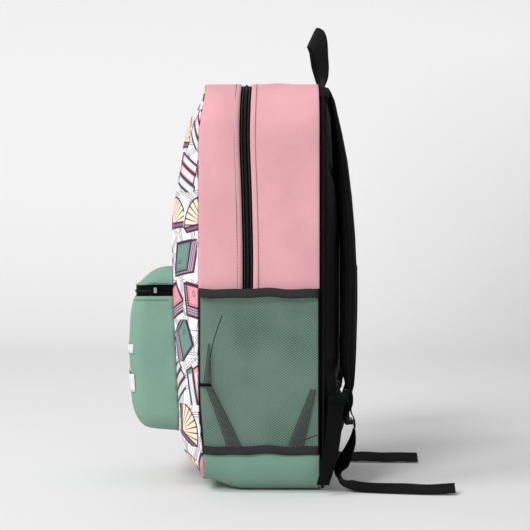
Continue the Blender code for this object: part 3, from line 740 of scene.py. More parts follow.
def add_camera():
    """Level, square to the right side, at the bag's middle height."""
    data = bpy.data.cameras.new("camera")
    data.sensor_width = SENSOR
    data.lens = LENS
    data.clip_start = 0.01
    camera = bpy.data.objects.new("camera", data)
    camera.location = CAMERA_AT
    camera.rotation_euler = (pi / 2, 0, pi / 2)
    bpy.context.scene.collection.objects.link(camera)
    bpy.context.scene.camera = camera


def add_area(name, location, target, size, power):
    data = bpy.data.lights.new(name, "AREA")
    data.size = size
    data.energy = power
    light = bpy.data.objects.new(name, data)
    light.location = location
    bpy.context.scene.collection.objects.link(light)
    look_at(light, target)


def add_sun(name, direction, angle, strength):
    light = bpy.data.lights.new(name, "SUN")
    light.energy, light.angle = strength, radians(angle)
    made = bpy.data.objects.new(name, light)
    bpy.context.scene.collection.objects.link(made)
    made.rotation_euler = Vector(direction).to_track_quat("-Z", "Y").to_euler()


def curl(start, radius, size):
    """(distance, height) where the floor curves up through a quarter circle."""
    return [(start + radius * sin(radians(a)), radius * (1 - cos(radians(a)))) for a in steps(0, 90, size)]


def add_studio():
    """A pale floor that curves up on all sides, with a painted shadow low down towards +Y, even light, a
    soft low key and a soft top light.
    """
    far = [(-x, z) for x, z in curl(2.4, 1.6, 6)]
    profile = [*reversed(curl(9.0, 2.0, 9)), (3.0, 0.0), (0.6, 0.0), (-0.9, 0.0), *far, (far[-1][0], 7.0)]
    side_wall = curl(5.5, 2.0, 9)
    ends = [*[(-y, z) for y, z in reversed(side_wall)], *side_wall]
    rows = [[Vector((x, y, max(z, end_z) - FLOOR_DROP)) for x, z in profile] for y, end_z in ends]
    bm = bmesh.new()
    add_grid(bm, rows, lambda _: Vector((0.1, 0, 1)))
    paint = Paint("studio_backdrop", linear(227, 227, 227), 0.8)
    x, y, z = paint.place()
    # Painted shadow: the backdrop's colour goes darker towards +Y and low down, a soft shadow of the bag
    # painted onto it.
    paint.shade(y.ramp(0.15, 1.0) * (1 - z.ramp(0.1, 1.1)), 0.77)
    paint.set(Specular_IOR_Level=0.1)
    paint.bump(paint.noise(40, 2), 0.0001)
    backdrop = piece("studio_backdrop", bm, paint.done(), None)
    world = bpy.data.worlds.new("studio")
    bpy.context.scene.world = world
    world.use_nodes = True
    background = world.node_tree.nodes["Background"]
    background.inputs["Color"].default_value = (1, 1, 1, 1)
    background.inputs["Strength"].default_value = 0.45
    bpy.context.scene.view_settings.view_transform = "Standard"
    add_sun("key", direction=(-1.0, 0.45, -0.62), angle=20, strength=1.95)
    add_area("top", location=(1.0, -1.5, 2.0), target=(0, 0, 0.1), size=0.9, power=25)


# ---------------------------------------------------------------- main bag
def wrinkle(point, size=0.055, seed=0.0):
    """Shallow creases of soft cloth, from -1 to 1."""
    slow = ripple(point, size, seed)
    return 0.7 * slow + 0.3 * ripple(point, size * 0.42, seed + 5)


EASE_TOP, EASE_BOTTOM = 0.0072, 0.0058  # how far back the front seam goes near the corners
ZIP_SWAY = 0.0018


def lean(made, body="bag"):
    """Eases the front seam back near the bag's corners, and lets the zip stray a little from straight.
    A piece that has no body of its own then has its transform baked into its mesh."""
    for vert in made.data.vertices:
        x, y, z = vert.co
        seam = smooth((-0.024 - y) / 0.040) * (1 - smooth((-0.0665 - y) / 0.020))
        ease = EASE_TOP * smooth((z - 0.385) / 0.070) + EASE_BOTTOM * smooth((0.120 - z) / 0.100)
        vert.co.y += seam * ease
        near = 1 - smooth((abs(y - ZIP_Y) - 0.014) / 0.025)
        side = smooth((abs(x) - 0.12) / 0.02)
        vert.co.y += near * side * ZIP_SWAY * (hump(z, 0.25, 0.07) - hump(z, 0.395, 0.045))
    if not body:
        blend_over_fold(made)


def gusset_rows(path, y_low, y_high, seam_low, seam_high, bow, seed):
    """Rows across a gusset, along path. A seam end turns in; the other is a hem beside the zip."""
    rows = []
    for y in steps(y_low, y_high, 0.004):
        share = (y - y_low) / (y_high - y_low)
        belly = sin(pi * share)
        row = []
        for x, z in path:
            out = Vector((x, 0, z - HEIGHT / 2 if abs(x) < WIDTH / 2 - 0.06 else 0)).normalized()
            point = Vector((x, y, z + rise(y, z)))
            fold = wrinkle(point, 0.06, seed) * 0.0030 * belly
            for hem_y, is_seam in ((y_low, seam_low), (y_high, seam_high)):
                if not is_seam:
                    fold -= 0.00045 * hump(abs(y - hem_y), TOPSTITCH, 0.0012)
            row.append(point + out * (bow * belly + fold))
        rows.append(row)
    rounds = (0.35, 0.9), (0.9, 1.6)
    for end, is_seam, way in ((0, seam_low, -1), (-1, seam_high, 1)):
        if not is_seam:
            continue
        edge = rows[end]
        for side, depth in rounds:
            turned = []
            for point in edge:
                inward = Vector((-point.x, 0, HEIGHT / 2 - point.z))
                if abs(point.x) > WIDTH / 2 - 0.03:
                    inward = Vector((-point.x, 0, 0))
                turned.append(point + inward.normalized() * 0.0008 * side
                              + Vector((0, way * 0.0007 * depth, 0)))
            if end:
                rows.append(turned)
            else:
                rows.insert(0, turned)
    return rows


GUSSET_BOW = 0.0012


def make_gussets():
    base = gusset_rows(trough(SPLIT_Z), FRONT_Y, BACK_Y, True, True, bow=0.0, seed=2.0)
    rear = gusset_rows(arch(SPLIT_Z), ZIP_Y + ZIP_HALF, BACK_Y, False, True, bow=GUSSET_BOW, seed=3.0)
    front = gusset_rows(arch(SPLIT_Z), FRONT_Y, ZIP_Y - ZIP_HALF, True, False, bow=GUSSET_BOW, seed=4.0)
    lean(sheet_piece("base_fabric", base, GREEN_CANVAS, "bag", replaces=["gusset_base"],
                     slot="green_canvas", thickness=CANVAS))
    lean(sheet_piece("rear_gusset_fabric", rear, PINK_CANVAS, "bag", replaces=["gusset_rear"],
                     slot="pink_canvas", thickness=CANVAS))
    lean(sheet_piece("front_gusset_fabric", front, PINK_CANVAS, None,
                     replaces=["gusset_front", "gusset_front_lower_r", "gusset_front_lower_l"],
                     slot="pink_canvas", thickness=CANVAS), None)


def blend_over_fold(made):
    """Cloth that runs from the fixed lower part of the bag up onto the part that folds open: only its
    transform is baked into its mesh.
    """
    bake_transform(made)


def make_front_panel():
    """One domed sheet of printed canvas, from the bottom seam to the top one."""
    at_top = [HEIGHT - TOP_RADIUS * (1 - cos(radians(a))) for a in range(0, 91, 6)]
    at_bottom = [BOTTOM_RADIUS * (1 - cos(radians(a))) for a in range(0, 91, 8)]
    heights = sorted({*steps(0, HEIGHT, 0.0045), *at_top, *at_bottom})
    heights = [z for z, after in zip(heights, [*heights[1:], 9]) if after - z > 0.0004]
    columns = [sin(pi / 2 * i / 34) for i in range(-34, 35)]
    rows = []
    for z in heights:
        row = []
        for share in columns:
            x = share * half_width(z)
            y = panel_depth(x, z)
            edge = min(half_width(z) - abs(x), HEIGHT - z, z) / 0.02
            fold = wrinkle((x, y, z), 0.06, 8.0) * 0.0013 * smooth(edge)
            row.append(Vector((x, y - fold, z + rise(y, z))))
        first, last = [Vector((p.x - way * SEAM_INSET, PANEL_Y + SEAM_TURN, p.z))
                       for p, way in ((row[0], -1), (row[-1], 1))]
        rows.append([first, *row, last])
    for end, drop in ((0, SEAM_INSET), (-1, -SEAM_INSET)):
        lip = [Vector((p.x, PANEL_Y + SEAM_TURN, p.z + drop)) for p in rows[end]]
        rows.insert(0, lip) if end == 0 else rows.append(lip)
    lean(sheet_piece("front_panel_fabric", rows, PRINT, None,
                     replaces=["front_panel_lower", "front_panel_upper"], slot="printed_canvas",
                     thickness=CANVAS), None)


# ---------------------------------------------------------------- zips
COIL_PITCH = 0.0013
COIL_STITCH = 0.0036  # from the zip's middle to the stitches that hold a coil


def add_tooth(bm, centre, across, along, out, reach, half_wide, height):
    """One coil of a zip's row: a low rounded loop that reaches over the middle line."""
    section = ((0, 0.0), (0.35, 0.55), (0.75, 1.0), (1.0, 0.7), (1.0, 0.15))
    rings = []
    for side in (-1, -0.4, 0.4, 1):
        lift = 1 - 0.35 * abs(side) ** 2
        rings.append([bm.verts.new(centre + across * (reach * (share - 0.55))
                                   + along * half_wide * side * (0.6 + 0.4 * share)
                                   + out * height * level * lift) for share, level in section])
    for near, far in zip(rings, rings[1:]):
        for i in range(len(section) - 1):
            bm.faces.new((near[i], near[i + 1], far[i + 1], far[i]))
        bm.faces.new((near[-1], near[0], far[0], far[-1]))
    bm.faces.new(list(reversed(rings[0])))
    bm.faces.new(rings[-1])


def add_coil(bm, route, outs, other_row, offset):
    """One row of teeth along a route. other_row points to the row that it meshes with."""
    along = lengths(route)
    index = 0
    distance = COIL_PITCH * (0.5 + offset)
    while distance < along[-1] - COIL_PITCH / 2:
        while along[index + 1] < distance:
            index += 1
        t = (distance - along[index]) / (along[index + 1] - along[index])
        centre = route[index].lerp(route[index + 1], t)
        direction = (route[index + 1] - route[index]).normalized()
        out = outs[index].lerp(outs[index + 1], t).normalized()
        add_tooth(bm, centre, other_row, direction, out, 0.0030, COIL_PITCH * 0.30, 0.0011)
        distance += COIL_PITCH


def arch_normals(path):
    """The outward direction at each (x, z) of an arch."""
    normals = []
    for i in range(len(path)):
        before, after = path[max(i - 1, 0)], path[min(i + 1, len(path) - 1)]
        normals.append(Vector((after[1] - before[1], 0, before[0] - after[0])).normalized())
    return normals


def band_rows(path, inset, y_values):
    """Rows that follow an arch at an inset, one for each y."""
    normals = arch_normals(path)
    return [[Vector((x, y, z)) - normal * inset for (x, z), normal in zip(path, normals)] for y in y_values]


def make_main_zip():
    path = arch(SPLIT_Z)
    normals = arch_normals(path)
    tape_inset, teeth_inset = 0.0022, 0.0016
    for tag, way, body, nodes in (("rear", 1, "bag", ["zip_tape_rear"]),
                                  ("front", -1, None, ["zip_tape_front", "zip_end_r", "zip_end_l"])):
        reaches = (0.0002, 0.003, 0.006, 0.009, 0.0122)
        rows = band_rows(path, tape_inset, [ZIP_Y + way * reach for reach in reaches])
        lean(sheet_piece(f"zip_tape_{tag}_woven", rows, TAPE, body, replaces=nodes, slot="binding",
                         thickness=0.0006), body)
    for tag, way, body in (("rear", 1, "bag"), ("front", -1, None)):
        route = [Vector((x, ZIP_Y, z)) - normal * teeth_inset for (x, z), normal in zip(path, normals)]
        bm = bmesh.new()
        add_coil(bm, route, normals, Vector((0, -way, 0)), 0.5 * (way < 0))
        coil = piece(f"zip_coil_{tag}", bm, TEETH, body, replaces=[f"zip_teeth_{tag}"], slot="zip_teeth")
        route = [point + Vector((0, way * COIL_STITCH, 0)) - normal * 0.0004
                 for point, normal in zip(route, normals)]
        made = stitch_piece(f"coil_stitching_{tag}", [(route, normals)], COIL_THREAD, body, length=0.0013,
                            gap=0.0013)
        lean(coil, body)
        lean(made, body)


def make_main_stitching():
    """Topstitching on both sides of the main zip."""
    path = arch(SPLIT_Z + 0.004)
    normals = arch_normals(path)
    for tag, way, body in (("rear", 1, "bag"), ("front", -1, None)):
        y = ZIP_Y + way * (ZIP_HALF + TOPSTITCH)
        route = [Vector((x, y, z)) + normal * 0.0004 for (x, z), normal in zip(path, normals)]
        lean(stitch_piece(f"zip_stitching_{tag}", [(route, normals)], PINK_THREAD, body), body)


# ---------------------------------------------------------------- front pocket
POCKET_LOW, POCKET_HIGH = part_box("pocket_bag")
POCKET_HALF = POCKET_HIGH[0]
POCKET_ZIP_LOW, POCKET_ZIP_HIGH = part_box("pocket_tape_lower")[0][2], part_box("pocket_cap")[0][2]
POCKET_ZIP_Z = (POCKET_ZIP_LOW + POCKET_ZIP_HIGH) / 2
POCKET_FRONT_Y = -0.1412  # the zip's face
POCKET_CORNER = 0.017
POCKET_CROWN = 0.003  # how far the front's middle stands out
POCKET_SEAM = 0.0004
POCKET_CELL = 0.0035
MOTIF_HALF = 0.1112
# Side profiles, (y, z): from the zip down round the bottom, and from the zip over the top.
BAG_PROFILE = [
    (-0.1405, 0.2168), (-0.1440, 0.2040), (-0.1462, 0.1850), (-0.1471, 0.1550), (-0.1460, 0.1283),
    (-0.1441, 0.1006), (-0.1396, 0.0833), (-0.1325, 0.0722), (-0.1255, 0.0672), (-0.1050, 0.0650),
]
CAP_PROFILE = [
    (-0.1398, 0.2303), (-0.1340, 0.2335), (-0.1276, 0.2396), (-0.1225, 0.2440), (-0.1135, 0.2490),
    (-0.1045, 0.2508),
]


def pocket_loop(front_y, z, half, inset=0.0):
    """(x, y) points round the pocket at one height, from the +X seam round the front to the -X seam."""
    half, front_y = half - inset, front_y + inset
    seam = panel_depth(half, z) - POCKET_SEAM
    depth = max(seam - front_y, 0.0008)
    radius = min(POCKET_CORNER - inset, depth * 0.8)
    side = [(half, seam + (front_y + radius - seam) * i / 9) for i in range(9)]
    bend = [(half - radius + radius * cos(radians(a)), front_y + radius - radius * sin(radians(a)))
            for a in range(0, 91, 10)]
    flat = [((half - radius) * (1 - i / 18), front_y) for i in range(1, 19)]
    loop = both_halves([*side, *bend, *flat])
    return [(x, max(y - POCKET_CROWN * (1 - (x / half) ** 2), y - depth)) for x, y in loop]


def pocket_half(z, low, high, low_round, high_round):
    """Half of the pocket's width, with round corners at its low and high ends."""
    half = POCKET_HALF
    for radius, depth in ((low_round, z - low), (high_round, high - z)):
        if radius and depth < radius:
            half = min(half, POCKET_HALF - radius + sqrt(max(radius**2 - (radius - max(depth, 0)) ** 2, 0)))
    return half


def pocket_rows(profile, low, high, low_round, high_round, seed):
    rows = []
    route = spline([Vector((0, y, z)) for y, z in profile], POCKET_CELL)
    for i, middle in enumerate(route):
        half = pocket_half(middle.z, low, high, low_round, high_round)
        loop = pocket_loop(middle.y, middle.z, half)
        row = []
        for x, y in loop:
            share = min(i / 4, 1) * min((len(route) - 1 - i) / 3, 1)
            share *= smooth((panel_depth(x, middle.z) - y) / 0.012)
            lift = wrinkle((x, y, middle.z), 0.05, seed) * 0.0014 * share
            lift -= 0.0005 * hump(i * POCKET_CELL, POCKET_CELL, 0.0012)
            away = Vector((x * 0.25, y + 0.1, 0)).normalized()
            row.append(Vector((x, y, middle.z)) + away * lift)
        rows.append(row)
    last = rows[-1]
    rows.append([Vector((p.x, max(p.y, panel_depth(p.x, p.z) - POCKET_SEAM), p.z)) for p in last])
    return rows


def pocket_outward(point):
    return Vector((point.x * 0.3, point.y + 0.095, (point.z - 0.16) * 0.3))


def pocket_band(low_z, high_z, inset):
    """Rows of a band that runs round the pocket beside its zip."""
    loop = pocket_loop(POCKET_FRONT_Y, POCKET_ZIP_Z, POCKET_HALF, inset)
    return [[Vector((x, y, z)) for x, y in loop] for z in steps(low_z, high_z, 0.0025)]


def loop_normals(route):
    """The direction away from the pocket at each point of a level route round it."""
    outs = [Vector((b.y - a.y, a.x - b.x, 0)).normalized() for a, b in zip(route, route[1:])]
    return [-out if out.dot(pocket_outward(p)) < 0 else out for out, p in zip([*outs, outs[-1]], route)]


def make_pocket():
    bag_rows = pocket_rows(BAG_PROFILE, POCKET_LOW[2], 1, low_round=0.022, high_round=0, seed=21.0)
    sheet_piece("pocket_fabric", bag_rows, GREEN_CANVAS, "bag", pocket_outward, replaces=["pocket_bag"],
                slot="green_canvas", thickness=CANVAS)
    cap_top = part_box("pocket_cap")[1][2]
    cap_rows = pocket_rows(CAP_PROFILE, 0, cap_top, low_round=0, high_round=0.016, seed=27.0)
    cap = sheet_piece("pocket_cap_fabric", cap_rows, GREEN_CANVAS, None,
                      lambda p: Vector((0, p.y + 0.1, 0.03)), replaces=["pocket_cap"],
                      slot="green_canvas", thickness=CANVAS)
    blend_over_lid(cap)
    middle = POCKET_ZIP_Z
    for tag, z_low, z_high, body in (("lower", POCKET_ZIP_LOW - 0.001, middle - 0.0002, "bag"),
                                     ("upper", middle + 0.0002, POCKET_ZIP_HIGH + 0.001, None)):
        tape = sheet_piece(f"pocket_tape_{tag}_woven", pocket_band(z_low, z_high, 0.0022), TAPE, body,
                           pocket_outward, replaces=[f"pocket_tape_{tag}"], slot="binding", thickness=0.0005)
        if not body:
            blend_over_lid(tape)
    stop_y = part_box("pocket_zip_stop_r")[0][1]
    loop = [Vector((x, y, middle)) for x, y in pocket_loop(POCKET_FRONT_Y, middle, POCKET_HALF, 0.0019)]
    loop = [p for p in loop if p.y < stop_y]
    outs = loop_normals(loop)
    for tag, way, body in (("lower", 1, "bag"), ("upper", -1, None)):
        bm = bmesh.new()
        add_coil(bm, loop, outs, Vector((0, 0, way)), 0.5 * (way < 0))
        coil = piece(f"pocket_coil_{tag}", bm, TEETH, body, replaces=[f"pocket_teeth_{tag}"],
                     slot="zip_teeth")
        if not body:
            blend_over_lid(coil)
    run = pocket_stitch_run(POCKET_ZIP_LOW - 0.0042, BAG_PROFILE[0][0] - 0.0013)
    stitch_piece("pocket_stitching", [run], GREEN_THREAD, "bag")
    run = pocket_stitch_run(POCKET_ZIP_HIGH + 0.0026, CAP_PROFILE[0][0] + 0.0047)
    blend_over_lid(stitch_piece("pocket_cap_stitching", [run], GREEN_THREAD, None))


def blend_over_lid(made):
    """The lid's cloth, sewn along its back seam: only its transform is baked into its mesh."""
    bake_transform(made)


def pocket_face(x, z):
    """Y of the pocket's front at x, z."""
    for high, low in zip(BAG_PROFILE, BAG_PROFILE[1:]):
        if low[1] <= z <= high[1]:
            front_y = high[0] + (low[0] - high[0]) * (high[1] - z) / (high[1] - low[1])
    turn = max(abs(x) - (POCKET_HALF - POCKET_CORNER), 0)
    rounded = front_y + POCKET_CORNER - sqrt(POCKET_CORNER**2 - turn**2)
    return rounded - POCKET_CROWN * (1 - (x / POCKET_HALF) ** 2)


def make_motif():
    """Two rows of plain book spines, printed in white on the pocket's front."""
    bm = bmesh.new()
    for low_z, height, seed in ((0.1520, 0.0140, 1), (0.1085, 0.0250, 5)):
        left, index = -MOTIF_HALF, 0
        while left < MOTIF_HALF - 0.008:
            wide = (0.0095, 0.0150, 0.0070, 0.0115, 0.0170, 0.0085, 0.0125)[(index * 3 + seed) % 7]
            tall = height * (1.0, 0.82, 0.93, 0.75, 1.0, 0.88)[(index + seed) % 6]
            right = left + wide if left + wide < MOTIF_HALF - 0.011 else MOTIF_HALF
            xs = steps(left, right, 0.0015)
            zs = steps(low_z, low_z + tall, CELL)
            rows = [[Vector((x, pocket_face(x, z) - 0.0012, z)) for x in xs] for z in zs]
            add_grid(bm, rows, lambda point: Vector((point.x * 0.1, -1, 0)))
            left = right + 0.0032
            index += 1
    piece("pocket_motif", bm, WHITE_INK, "bag", slot="printed_canvas", thickness=0.0003)


def pocket_stitch_run(z, front_y):
    """A level route round the pocket's front, with its normals."""
    route = [Vector((x, y, z)) for x, y in pocket_loop(front_y, z, POCKET_HALF, -0.0003)]
    return route[2:-2], loop_normals(route)[2:-2]


# ---------------------------------------------------------------- mesh side pockets
NET_LOW_Z, NET_HIGH_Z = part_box("mesh_pocket_r")[0][2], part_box("mesh_pocket_r")[1][2]
NET_HALF_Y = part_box("mesh_pocket_r")[1][1] + 0.0012
NET_BULGE = 0.0095
NET_STAND = 0.0018  # between the netting's edges and the gusset
NET_SLACK = 0.0026
NET_PITCH = 0.0040
NET_OPEN = 0.815  # how much of each cell's width is open
ELASTIC_HIGH_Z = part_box("mesh_elastic_r")[1][2]
BINDING_LOW_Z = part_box("mesh_binding_r")[0][2]
NET_FLAT = (2.15 * NET_HALF_Y, NET_HIGH_Z - NET_LOW_Z)
TUCK_FLAT = (0.0145, 0.13)  # fitted: about the area inside the outlines of one side's tucks
TACK_Z = 0.1205  # of the bar of thread that holds the front tuck
# Tucks that take in the net: its (y, z) corners at the foot, then at the head.
TUCKS = [
    (((-0.0362, 0.0515), (-0.0188, 0.0515)), ((-0.0590, 0.1215), (-0.0530, 0.1215))),
    (((0.0309, 0.0515), (0.0484, 0.0515)), ((0.0570, 0.1165), (0.0625, 0.1165))),
    (((-0.0605, 0.1215), (-0.0525, 0.1215)), ((-0.0552, 0.1660), (-0.0538, 0.1660))),
]


def net_x(y, z):
    """How far out the netting stands, with a soft slack."""
    open_share = 0.15 + 0.85 * smooth((z - BINDING_LOW_Z) / 0.10)
    arc = max(1 - (y / NET_HALF_Y) ** 2, 0) ** 0.4
    slack = wrinkle((0, y * 1.4 + z * 0.5, z * 0.7), 0.045, 31.0) * NET_SLACK * arc
    slack *= smooth((NET_HIGH_Z - z) / 0.03)
    return WIDTH / 2 + NET_STAND + NET_BULGE * open_share * arc + slack - 0.0006


def add_net(bm, foot, head, open_share=NET_OPEN, lift=0.0):
    """Diamond netting between the (y, z) corners of its foot and of its head."""
    columns = max(2, round(max(foot[1][0] - foot[0][0], head[1][0] - head[0][0]) / NET_PITCH))
    rows = max(2, round((head[0][1] - foot[0][1]) / NET_PITCH / 0.72))
    made = {}

    def point_at(i, j):
        s, t = min(max(i / 2 / columns, 0), 1), min(max(j / 2 / rows, 0), 1)
        low = [a + (b - a) * s for a, b in zip(*foot)]
        high = [a + (b - a) * s for a, b in zip(*head)]
        y, z = [a + (b - a) * t for a, b in zip(low, high)]
        return Vector((net_x(y, z) + lift, y, z))

    def corner_at(i, j):
        if (i, j) not in made:
            made[i, j] = bm.verts.new(point_at(i, j))
        return made[i, j]

    for i in range(1, 2 * columns):
        for j in range(1, 2 * rows):
            if (i + j) % 2 == 0:
                continue
            ring = [(i - 1, j), (i, j - 1), (i + 1, j), (i, j + 1)]
            outer = [corner_at(*at) for at in ring]
            inner = [bm.verts.new(point_at(i + (a - i) * open_share, j + (b - j) * open_share))
                     for a, b in ring]
            for k in range(4):
                bm.faces.new((outer[k - 1], outer[k], inner[k], inner[k - 1]))


def band_along(low_z, high_z, side):
    """Rows of a band of tape that lies on the netting."""
    rows = []
    for z in steps(low_z, high_z, 0.0024):
        row = []
        for y in steps(-NET_HALF_Y, NET_HALF_Y, 0.003):
            roll = 0.0005 * sin(pi * (z - low_z) / (high_z - low_z))
            sag = 0.0007 * sin(y * 75 + 1.2) + 0.0005 * sin(y * 150)
            row.append(Vector((side * (net_x(y, min(z, NET_HIGH_Z)) + 0.0008 + roll), y, z + sag)))
        rows.append(row)
    return rows


def on_net(side, y, z, stand):
    """The point that stands this far off the netting on one side of the bag."""
    return Vector((side * (net_x(y, min(z, NET_HIGH_Z)) + stand), y, z))


def make_side_pockets():
    for side, tag, word in SIDES:
        edge = NET_HALF_Y - 0.0004
        foot, head = [((-edge, z), (edge, z)) for z in (NET_LOW_Z - 0.003, NET_HIGH_Z + 0.003)]
        layers = [("netting", NETTING, [(foot, head)])]
        layers.append(("tuck_netting", TUCK_NETTING, [(foot, head, 0.50, 0.0006) for foot, head in TUCKS]))
        layers.append(("tuck_face", TUCK_FACE, [(foot, head, 0.80, 0.0012) for foot, head in TUCKS]))
        for name, material, patches in layers:
            bm = bmesh.new()
            for patch in patches:
                add_net(bm, *patch)
            bmesh.ops.scale(bm, vec=(side, 1, 1), verts=bm.verts)
            if side < 0:
                bmesh.ops.reverse_faces(bm, faces=bm.faces)
            area = sum(face.calc_area() for face in bm.faces)
            net = piece(f"{name}_{word}", bm, material, "bag", slot="netting",
                        replaces=[f"mesh_pocket_{tag}"] if name == "netting" else ())
            lean(net)
            width, height = NET_FLAT if name == "netting" else TUCK_FLAT
            # The strands of the tucks' outer layer cover a little less than a sheet may declare.
            min(max(area, 0.31 * width * height), width * height)
        for name, low_z, high_z, thickness in (("elastic", NET_HIGH_Z - 0.0002, ELASTIC_HIGH_Z, 0.0018),
                                               ("binding", BINDING_LOW_Z, NET_LOW_Z - 0.0002, 0.0016)):
            rows = band_along(low_z, high_z, side)
            lean(sheet_piece(f"pocket_{name}_{word}", rows, BINDING, "bag", lambda _: Vector((side, 0, 0)),
                             replaces=[f"mesh_{name}_{tag}"], slot="binding", thickness=thickness))
        bm = bmesh.new()
        for foot, head in TUCKS:
            for a, b in zip(foot, head):
                run = [(0, a[0] + (b[0] - a[0]) * t, a[1] + (b[1] - a[1]) * t) for t in (0, 0.33, 0.66, 1)]
                add_tube(bm, [on_net(side, p.y, p.z, 0.0010) for p in spline(run, CELL)], 0.00026)
        crease = [(-0.0560, 0.1205), (-0.0545, 0.135), (-0.0529, 0.153), (-0.0480, 0.175), (-0.0407, 0.197)]
        for line in (crease, [(0.0440, 0.057), (0.0560, 0.0625), (0.0640, 0.0655)]):
            run = spline([(0, y, z) for y, z in line], CELL)
            add_tube(bm, [on_net(side, p.y, p.z, 0.0004) for p in run], 0.00040)
        for y in (-NET_HALF_Y, NET_HALF_Y):
            edge = [Vector((side * (net_x(y, z) + 0.0002), y, z))
                    for z in steps(BINDING_LOW_Z, ELASTIC_HIGH_Z, CELL)]
            add_tube(bm, edge, 0.0009)
        for drop in (-0.0012, 0.0, 0.0012):
            tack = [Vector((side * (net_x(y, TACK_Z) + 0.0010), y, TACK_Z + drop + 0.0004 * (i % 2)))
                    for i, y in enumerate(steps(-NET_HALF_Y, -0.0525, 0.0016))]
            add_tube(bm, tack, 0.0007)
        lean(piece(f"netting_cords_{word}", bm, TAPE, "bag", slot="binding"))
        stitches = []
        for z in (NET_HIGH_Z + 0.0016, NET_LOW_Z - 0.0018):
            route = [on_net(side, y, z, 0.0011) for y in steps(-NET_HALF_Y, NET_HALF_Y, CELL)]
            stitches.append((route, [Vector((side, 0, 0))] * len(route)))
        lean(stitch_piece(f"pocket_binding_stitching_{word}", stitches, BLACK_THREAD, "bag"))


# ---------------------------------------------------------------- padded back and straps
def voxel_body(name, rings, voxel):
    """A closed body through rings of points, remeshed to even quads."""
    bm = bmesh.new()
    loops = [[bm.verts.new(p) for p in ring] for ring in rings]
    for near, far in zip(loops, loops[1:]):
        for k in range(len(near)):
            bm.faces.new((near[k], near[(k + 1) % len(near)], far[(k + 1) % len(near)], far[k]))
    bm.faces.new(loops[0])
    bm.faces.new(loops[-1])
    bmesh.ops.recalc_face_normals(bm, faces=bm.faces)
    mesh = bpy.data.meshes.new(name)
    bm.to_mesh(mesh)
    bm.free()
    made = bpy.data.objects.new(name, mesh)
    bpy.context.scene.collection.objects.link(made)
    remesh = made.modifiers.new("Even quads", "REMESH")
    remesh.mode = "VOXEL"
    remesh.voxel_size = voxel
    bake_modifiers(made)
    return made


def bake_modifiers(made):
    """Makes the evaluated shape the object's own mesh."""
    depsgraph = bpy.context.evaluated_depsgraph_get()
    mesh = bpy.data.meshes.new_from_object(made.evaluated_get(depsgraph))
    made.modifiers.clear()
    made.data = mesh


PRESSURE = 3.0
CLOTH_STIFFNESS = 20


def inflate(made, most, frames, pinned=None):
    """Puffs the body up as cloth under pressure. No point moves further than most."""
    start = [v.co.copy() for v in made.data.vertices]
    cloth = made.modifiers.new("Cloth", "CLOTH")
    cloth.settings.use_pressure = True
    cloth.settings.uniform_pressure_force = PRESSURE
    cloth.settings.effector_weights.gravity = 0
    cloth.settings.quality = 5
    cloth.settings.tension_stiffness = CLOTH_STIFFNESS
    cloth.settings.compression_stiffness = CLOTH_STIFFNESS
    if pinned:
        group = made.vertex_groups.new(name="pinned")
        group.add([v.index for v in made.data.vertices if pinned(v.co)], 1.0, "REPLACE")
        cloth.settings.vertex_group_mass = "pinned"
    cloth.point_cache.frame_end = frames
    for frame_number in range(1, frames + 1):
        bpy.context.scene.frame_set(frame_number)
    bake_modifiers(made)
    bpy.context.scene.frame_set(1)
    for vert, old in zip(made.data.vertices, start):
        move = vert.co - old
        if move.length > most:
            vert.co = old + move.normalized() * most


def finish_pad(made, material, body, replaces, channels):
    """Sews the channels in, smooths and dresses a pad."""
    for vert in made.data.vertices:
        vert.co += channels(vert.co)
    made.data.materials.clear()
    made.data.materials.append(material)
    made.data.shade_smooth()
    subdivision = made.modifiers.new("Smooth", "SUBSURF")
    subdivision.levels = subdivision.render_levels = 1
    if body:
        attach(made, body)
    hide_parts(*replaces)


QUILT_X = 0.046  # of the two long channels
QUILT_Z = (0.115, 0.335)  # heights of the cross channels
QUILT_WIDTH = QUILT_DEPTH = 0.0050


def back_depth(x, z):
    """Y of the padded back's outer face, which bulges in the middle."""
    across = 1 - (x / (WIDTH / 2)) ** 2
    up = smooth((BACK_TOP_Z - 0.015 - z) / 0.14) * smooth((z - 0.02) / 0.12)
    return BACK_RIM_Y + BACK_BULGE * across * up


def back_outline(inset=0.0025):
    low, high = BACK_LOW_Z, BACK_TOP_Z
    heights = [low + (high - low) * (1 - cos(pi * i / 44)) / 2 for i in range(45)]
    side = [(half_width(z, inset), z) for z in heights]
    return [*side, *[(-x, z) for x, z in reversed(side)]]


